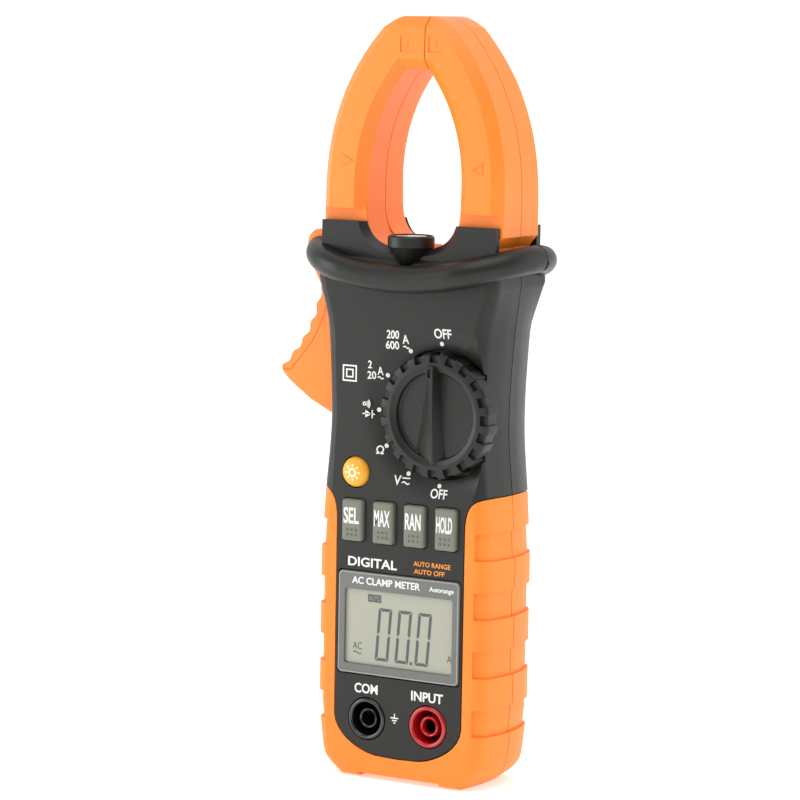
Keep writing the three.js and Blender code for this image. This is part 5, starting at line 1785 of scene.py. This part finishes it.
# ------------------------------------------------------------------ display
@dataclass
class Display:
    """The framed window, the screen behind it, and the dark segments of its reading."""

    builder: Builder
    screen_x: float = 17.0
    screen_z: tuple[float, float] = (31.6, 52.2)
    pane_front: float = -15.0
    digit_width: float = 4.3
    digit_height: float = 14.6
    lean: float = 0.075

    def digit(self, left: float, bottom: float, y: float) -> list[bpy.types.Object]:
        """Makes the six lit segments of a nought.

        Args:
            left: Left side of the digit.
            bottom: Its bottom.
            y: Place along Y of the screen.

        Returns:
            The segments.
        """
        w, h, t, g = self.digit_width, self.digit_height, 0.85, 0.14
        m = h / 2
        shapes = [
            [(g, h), (w - g, h), (w - t - g, h - t), (t + g, h - t)],
            [(g, 0), (t + g, t), (w - t - g, t), (w - g, 0)],
        ]
        for x0, flip in ((0, 1), (w, -1)):
            shapes.append([(x0, h - g), (x0 + flip * t, h - t - g), (x0 + flip * t, m + t * 0.7 + g),
                           (x0 + flip * t * 0.5, m + g), (x0, m + g + 0.3)])
            shapes.append([(x0, g), (x0 + flip * t, t + g), (x0 + flip * t, m - t * 0.7 - g),
                           (x0 + flip * t * 0.5, m - g), (x0, m - g - 0.3)])
        made = []
        for points in shapes:
            spots = [(left + px + pz * self.lean, bottom + pz) for px, pz in points]
            made.append(Bench.prism("segment", spots, (y - 0.04, y + 0.03)))
        return made

    def build(self) -> None:
        """Builds window, screen and reading."""
        low, high = self.screen_z
        middle = (low + high) / 2
        pane = Bench.prism("window_frame", rounded_box((0, 43), 38.4, 28.4, 1.3), (self.pane_front, -13.4),
                           0.55, 4, "front")
        view = rounded_box((0, middle), 2 * self.screen_x, high - low, 0.6)
        Bench.shape(pane, Cut.AWAY, Bench.prism("view", view, (self.pane_front - 1, -13)))
        Bench.soften(pane, 0.2, 40, 3)
        self.builder.place(pane, Body.CASE, "pane frame", "display_window")
        rim_path = rounded_box((0, 43), 37.6, 27.6, 1.0, 6)
        rim = Printer.ribbon("window_rim", rim_path, 0.32, self.pane_front + 0.05, 0.12, closed=True)
        self.builder.place(Bench.soften(rim, 0.12), Body.CASE, "pane edge")
        y = -14.2
        screen = Bench.box("screen", (-18, 18), (y, -11.7), (30.4, 52.8))
        self.builder.place(screen, Body.CASE, "screen", "lcd_panel")
        lit = []
        for left in (-7.6, -1.3, 5.0):
            lit += self.digit(left, 33.0, y)
        lit.append(Bench.box("point", (3.55, 4.35), (y - 0.04, y + 0.03), (32.9, 33.8)))
        lit.append(Printer.text("AC", (-13.2, 36.5), 2.0, 2.9, y, 0.0))
        lit.append(Printer.wave((-13.2, 34.6), 2.6, 0.6, 0.3, y))
        lit.append(Printer.text("A", (16.0, 35.9), 2.0, 1.5, y, 0.0))
        flag = Bench.box("flag", (-10.0, -5.8), (y - 0.04, y + 0.03), (49.0, 51.1))
        words = Printer.text("AUTO", (-7.9, 50.05), 1.3, 3.5, y - 0.1, 0.0)
        Bench.move_points(words, lambda px, py, pz: (px, y - 1 if py < y - 0.11 else y + 1, pz))
        Bench.shape(flag, Cut.AWAY, words)
        lit.append(flag)
        self.builder.place(Bench.join("reading", lit), Body.CASE, "segments")
        band = [Printer.text("AC CLAMP METER", (-3.9, 54.8), 2.0, 21.6, self.pane_front, 0.02),
                Printer.text("Autorange", (13.6, 54.4), 1.7, 7.6, self.pane_front)]
        self.builder.place(Bench.join("window_words", band), Body.CASE, "print white")


# ------------------------------------------------------------------ sockets
@dataclass
class Sockets:
    """The black and the red safety socket."""

    builder: Builder
    spacing: float = 19.4
    z: float = 16.6
    front: float = -15.0
    back: float = -0.5

    def build(self) -> None:
        """Builds both sockets."""
        f, b = self.front, self.back
        profile = [(2.0, f + 1.5), (2.15, f + 1.2), (2.45, f + 1.05), (2.75, f + 1.2), (2.9, f + 1.5),
                   (2.9, b - 3), (4.5, b - 3), (4.5, f + 0.8), (4.6, f + 0.35), (4.85, f + 0.08),
                   (5.15, f), (5.45, f + 0.1), (5.68, f + 0.35), (5.75, f + 0.8), (5.75, b), (2.65, b),
                   (2.65, f + 3), (2.0, f + 3)]
        for side, name, finish in ((Side.LEFT, "com", "gloss black"), (Side.RIGHT, "input", "gloss red")):
            socket = Bench.turned(f"{name}_port", profile, (side.value * self.spacing / 2, 0, self.z), 72)
            Bench.soften(socket, 0)
            self.builder.place(socket, Body.CASE, finish, f"{name}_socket")


# ------------------------------------------------------------------ back
@dataclass
class Back:
    """The battery cover with its ribs."""

    builder: Builder
    ribs: int = 7

    def build(self) -> None:
        """Builds the cover."""
        y = (12.3, S.back_y)
        cover = Bench.prism("cover_plate", rounded_box((0, 47), 36.8, 59.0, 1.3), y, 0.5, 3, "back")
        tools = [Bench.rod("screw", (0, 22.1), 1.6, (0, 30)),
                 Bench.rod("seat", (0, 22.1), 3.1, (S.back_y - 1.6, 30))]
        for index in range(self.ribs):
            z = 60 + index * 1.9
            tools.append(Bench.prism("rib", rounded_box((0, z), 20, 0.9, 0.44), (S.back_y - 0.5, 30)))
        Bench.shape(cover, Cut.AWAY, *tools)
        Bench.soften(cover, 0.12, 40)
        self.builder.place(cover, Body.CASE, "dark shell", "battery_cover")


# ------------------------------------------------------------------ inside
@dataclass
class Inside:
    """Finishes for the frame's own pieces that stay in view or behind the case."""

    finishes: Finishes
    table: dict[str, str] = field(default_factory=lambda: {
        "battery_cover_screw": "steel", "case_screw_1": "steel", "case_screw_2": "steel",
        "case_screw_3": "steel", "left_jaw_core": "core steel", "right_jaw_core": "core steel",
        "left_pivot_pin": "steel", "right_pivot_pin": "steel", "jaw_spring": "steel",
        "lamp_led": "white plastic", "selector_rotor": "white plastic", "key_pad": "black rubber",
        "lamp_switch": "gloss black", "lcd_holder": "white plastic", "backlight": "white plastic",
        "zebra_strip": "black rubber", "main_board": "board green", "buzzer": "gloss black",
        "com_contact": "brass", "input_contact": "brass", "battery_1": "cell sleeve",
        "battery_2": "cell sleeve", "battery_3": "cell sleeve", "battery_contact_top": "steel",
        "battery_contact_bottom": "steel",
    })

    def dress(self, nodes: dict[str, bpy.types.Object]) -> None:
        """Gives the named nodes their finishes."""
        for name, finish in self.table.items():
            material = self.finishes.made[finish]
            for index in range(max(1, len(nodes[name].data.materials))):
                if nodes[name].data.materials:
                    nodes[name].data.materials[index] = material
                else:
                    nodes[name].data.materials.append(material)


# ------------------------------------------------------------------ studio
@dataclass
class Studio:
    """Floor, soft lights and the camera."""

    finishes: Finishes
    spot: tuple[float, float, float] = (492.49, -831.88, 217.39)
    ahead: tuple[float, float, float] = (-0.51312, 0.85033, -0.11681)
    roll: float = 0.977
    lens: float = 160.43
    dim_y: float = -0.8
    bright_y: float = 0.35
    dim_light: float = 0.34
    bright_light: float = 1.03
    floor_glow: float = 0.42

    def camera(self) -> None:
        """Places the camera."""
        ahead = Vector(self.ahead).normalized()
        right = ahead.cross(Vector((0, 0, 1))).normalized()
        up = right.cross(ahead)
        turn = math.radians(self.roll)
        across = right * math.cos(turn) + up * math.sin(turn)
        over = up * math.cos(turn) - right * math.sin(turn)
        data = bpy.data.cameras.new("camera")
        data.lens = self.lens
        data.sensor_width = 36
        data.clip_start = 0.01
        data.clip_end = 50
        holder = bpy.data.objects.new("camera", data)
        holder.matrix_world = Matrix.Translation(Vector(self.spot) * MM) @ Matrix(
            [[across[i], over[i], -ahead[i]] for i in range(3)]).to_4x4()
        bpy.context.scene.collection.objects.link(holder)
        bpy.context.scene.camera = holder

    def light(
        self, name: str, spot: tuple[float, float, float], size: tuple[float, float], power: float,
    ) -> None:
        """Adds one soft light that faces the meter.

        Args:
            name: Its name.
            spot: Its place in metres.
            size: Width and height in metres.
            power: Its power in watts.
        """
        data = bpy.data.lights.new(name, "AREA")
        data.shape = "RECTANGLE"
        data.size, data.size_y = size
        data.energy = power
        holder = bpy.data.objects.new(name, data)
        holder.location = spot
        holder.rotation_euler = (Vector((0, 0, 0.1)) - Vector(spot)).to_track_quat("-Z", "Y").to_euler()
        bpy.context.scene.collection.objects.link(holder)

    def build(self) -> None:
        """Builds the whole studio."""
        bm = bmesh.new()
        bmesh.ops.create_circle(bm, cap_ends=True, segments=96, radius=6.0)
        bmesh.ops.translate(bm, verts=bm.verts, vec=(0, 0, -0.0002))
        floor = Bench.keep("floor", bm)
        self.finishes.dress(floor, "floor")
        shine = next(n for n in self.finishes.made["floor"].node_tree.nodes if n.type == "BSDF_PRINCIPLED")
        shine.inputs["Emission Color"].default_value = (1, 1, 1, 1)
        shine.inputs["Emission Strength"].default_value = self.floor_glow
        world = bpy.data.worlds.new("studio")
        world.use_nodes = True
        background = world.node_tree.nodes["Background"]
        background.inputs["Color"].default_value = (1, 1, 1, 1)
        tree = world.node_tree
        ways = tree.nodes.new("ShaderNodeTexCoord")
        parts = tree.nodes.new("ShaderNodeSeparateXYZ")
        span = tree.nodes.new("ShaderNodeMapRange")
        for index, value in enumerate((self.dim_y, self.bright_y, self.dim_light, self.bright_light)):
            span.inputs[index + 1].default_value = value
        tree.links.new(ways.outputs["Generated"], parts.inputs[0])
        tree.links.new(parts.outputs["Y"], span.inputs[0])
        tree.links.new(span.outputs[0], background.inputs["Strength"])
        bpy.context.scene.world = world
        bpy.context.scene.view_settings.view_transform = "Standard"
        self.light("left_softbox", (-0.72, -0.52, 0.15), (0.5, 0.9), 5.4)
        self.light("right_softbox", (0.85, 0.35, 0.3), (0.5, 0.9), 1.5)
        self.light("top_softbox", (0.1, -0.35, 0.9), (0.7, 0.7), 3.4)
        self.camera()


def main() -> None:
    """Builds every sub-assembly round the frame."""
    logging.basicConfig(level=logging.INFO, format="%(message)s")
    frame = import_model()
    finishes = Finishes()
    builder = Builder(finishes)
    Case(builder).build()
    Grips(builder).build()
    Jaws(builder).build()
    Trigger(builder).build()
    Selector(builder).build()
    Keys(builder).build()
    Display(builder).build()
    Sockets(builder).build()
    Printing(builder).build()
    Back(builder).build()
    Inside(finishes).dress(frame["nodes"])
    Studio(finishes).build()
    bpy.context.view_layer.update()


if __name__ == "__main__":
    main()
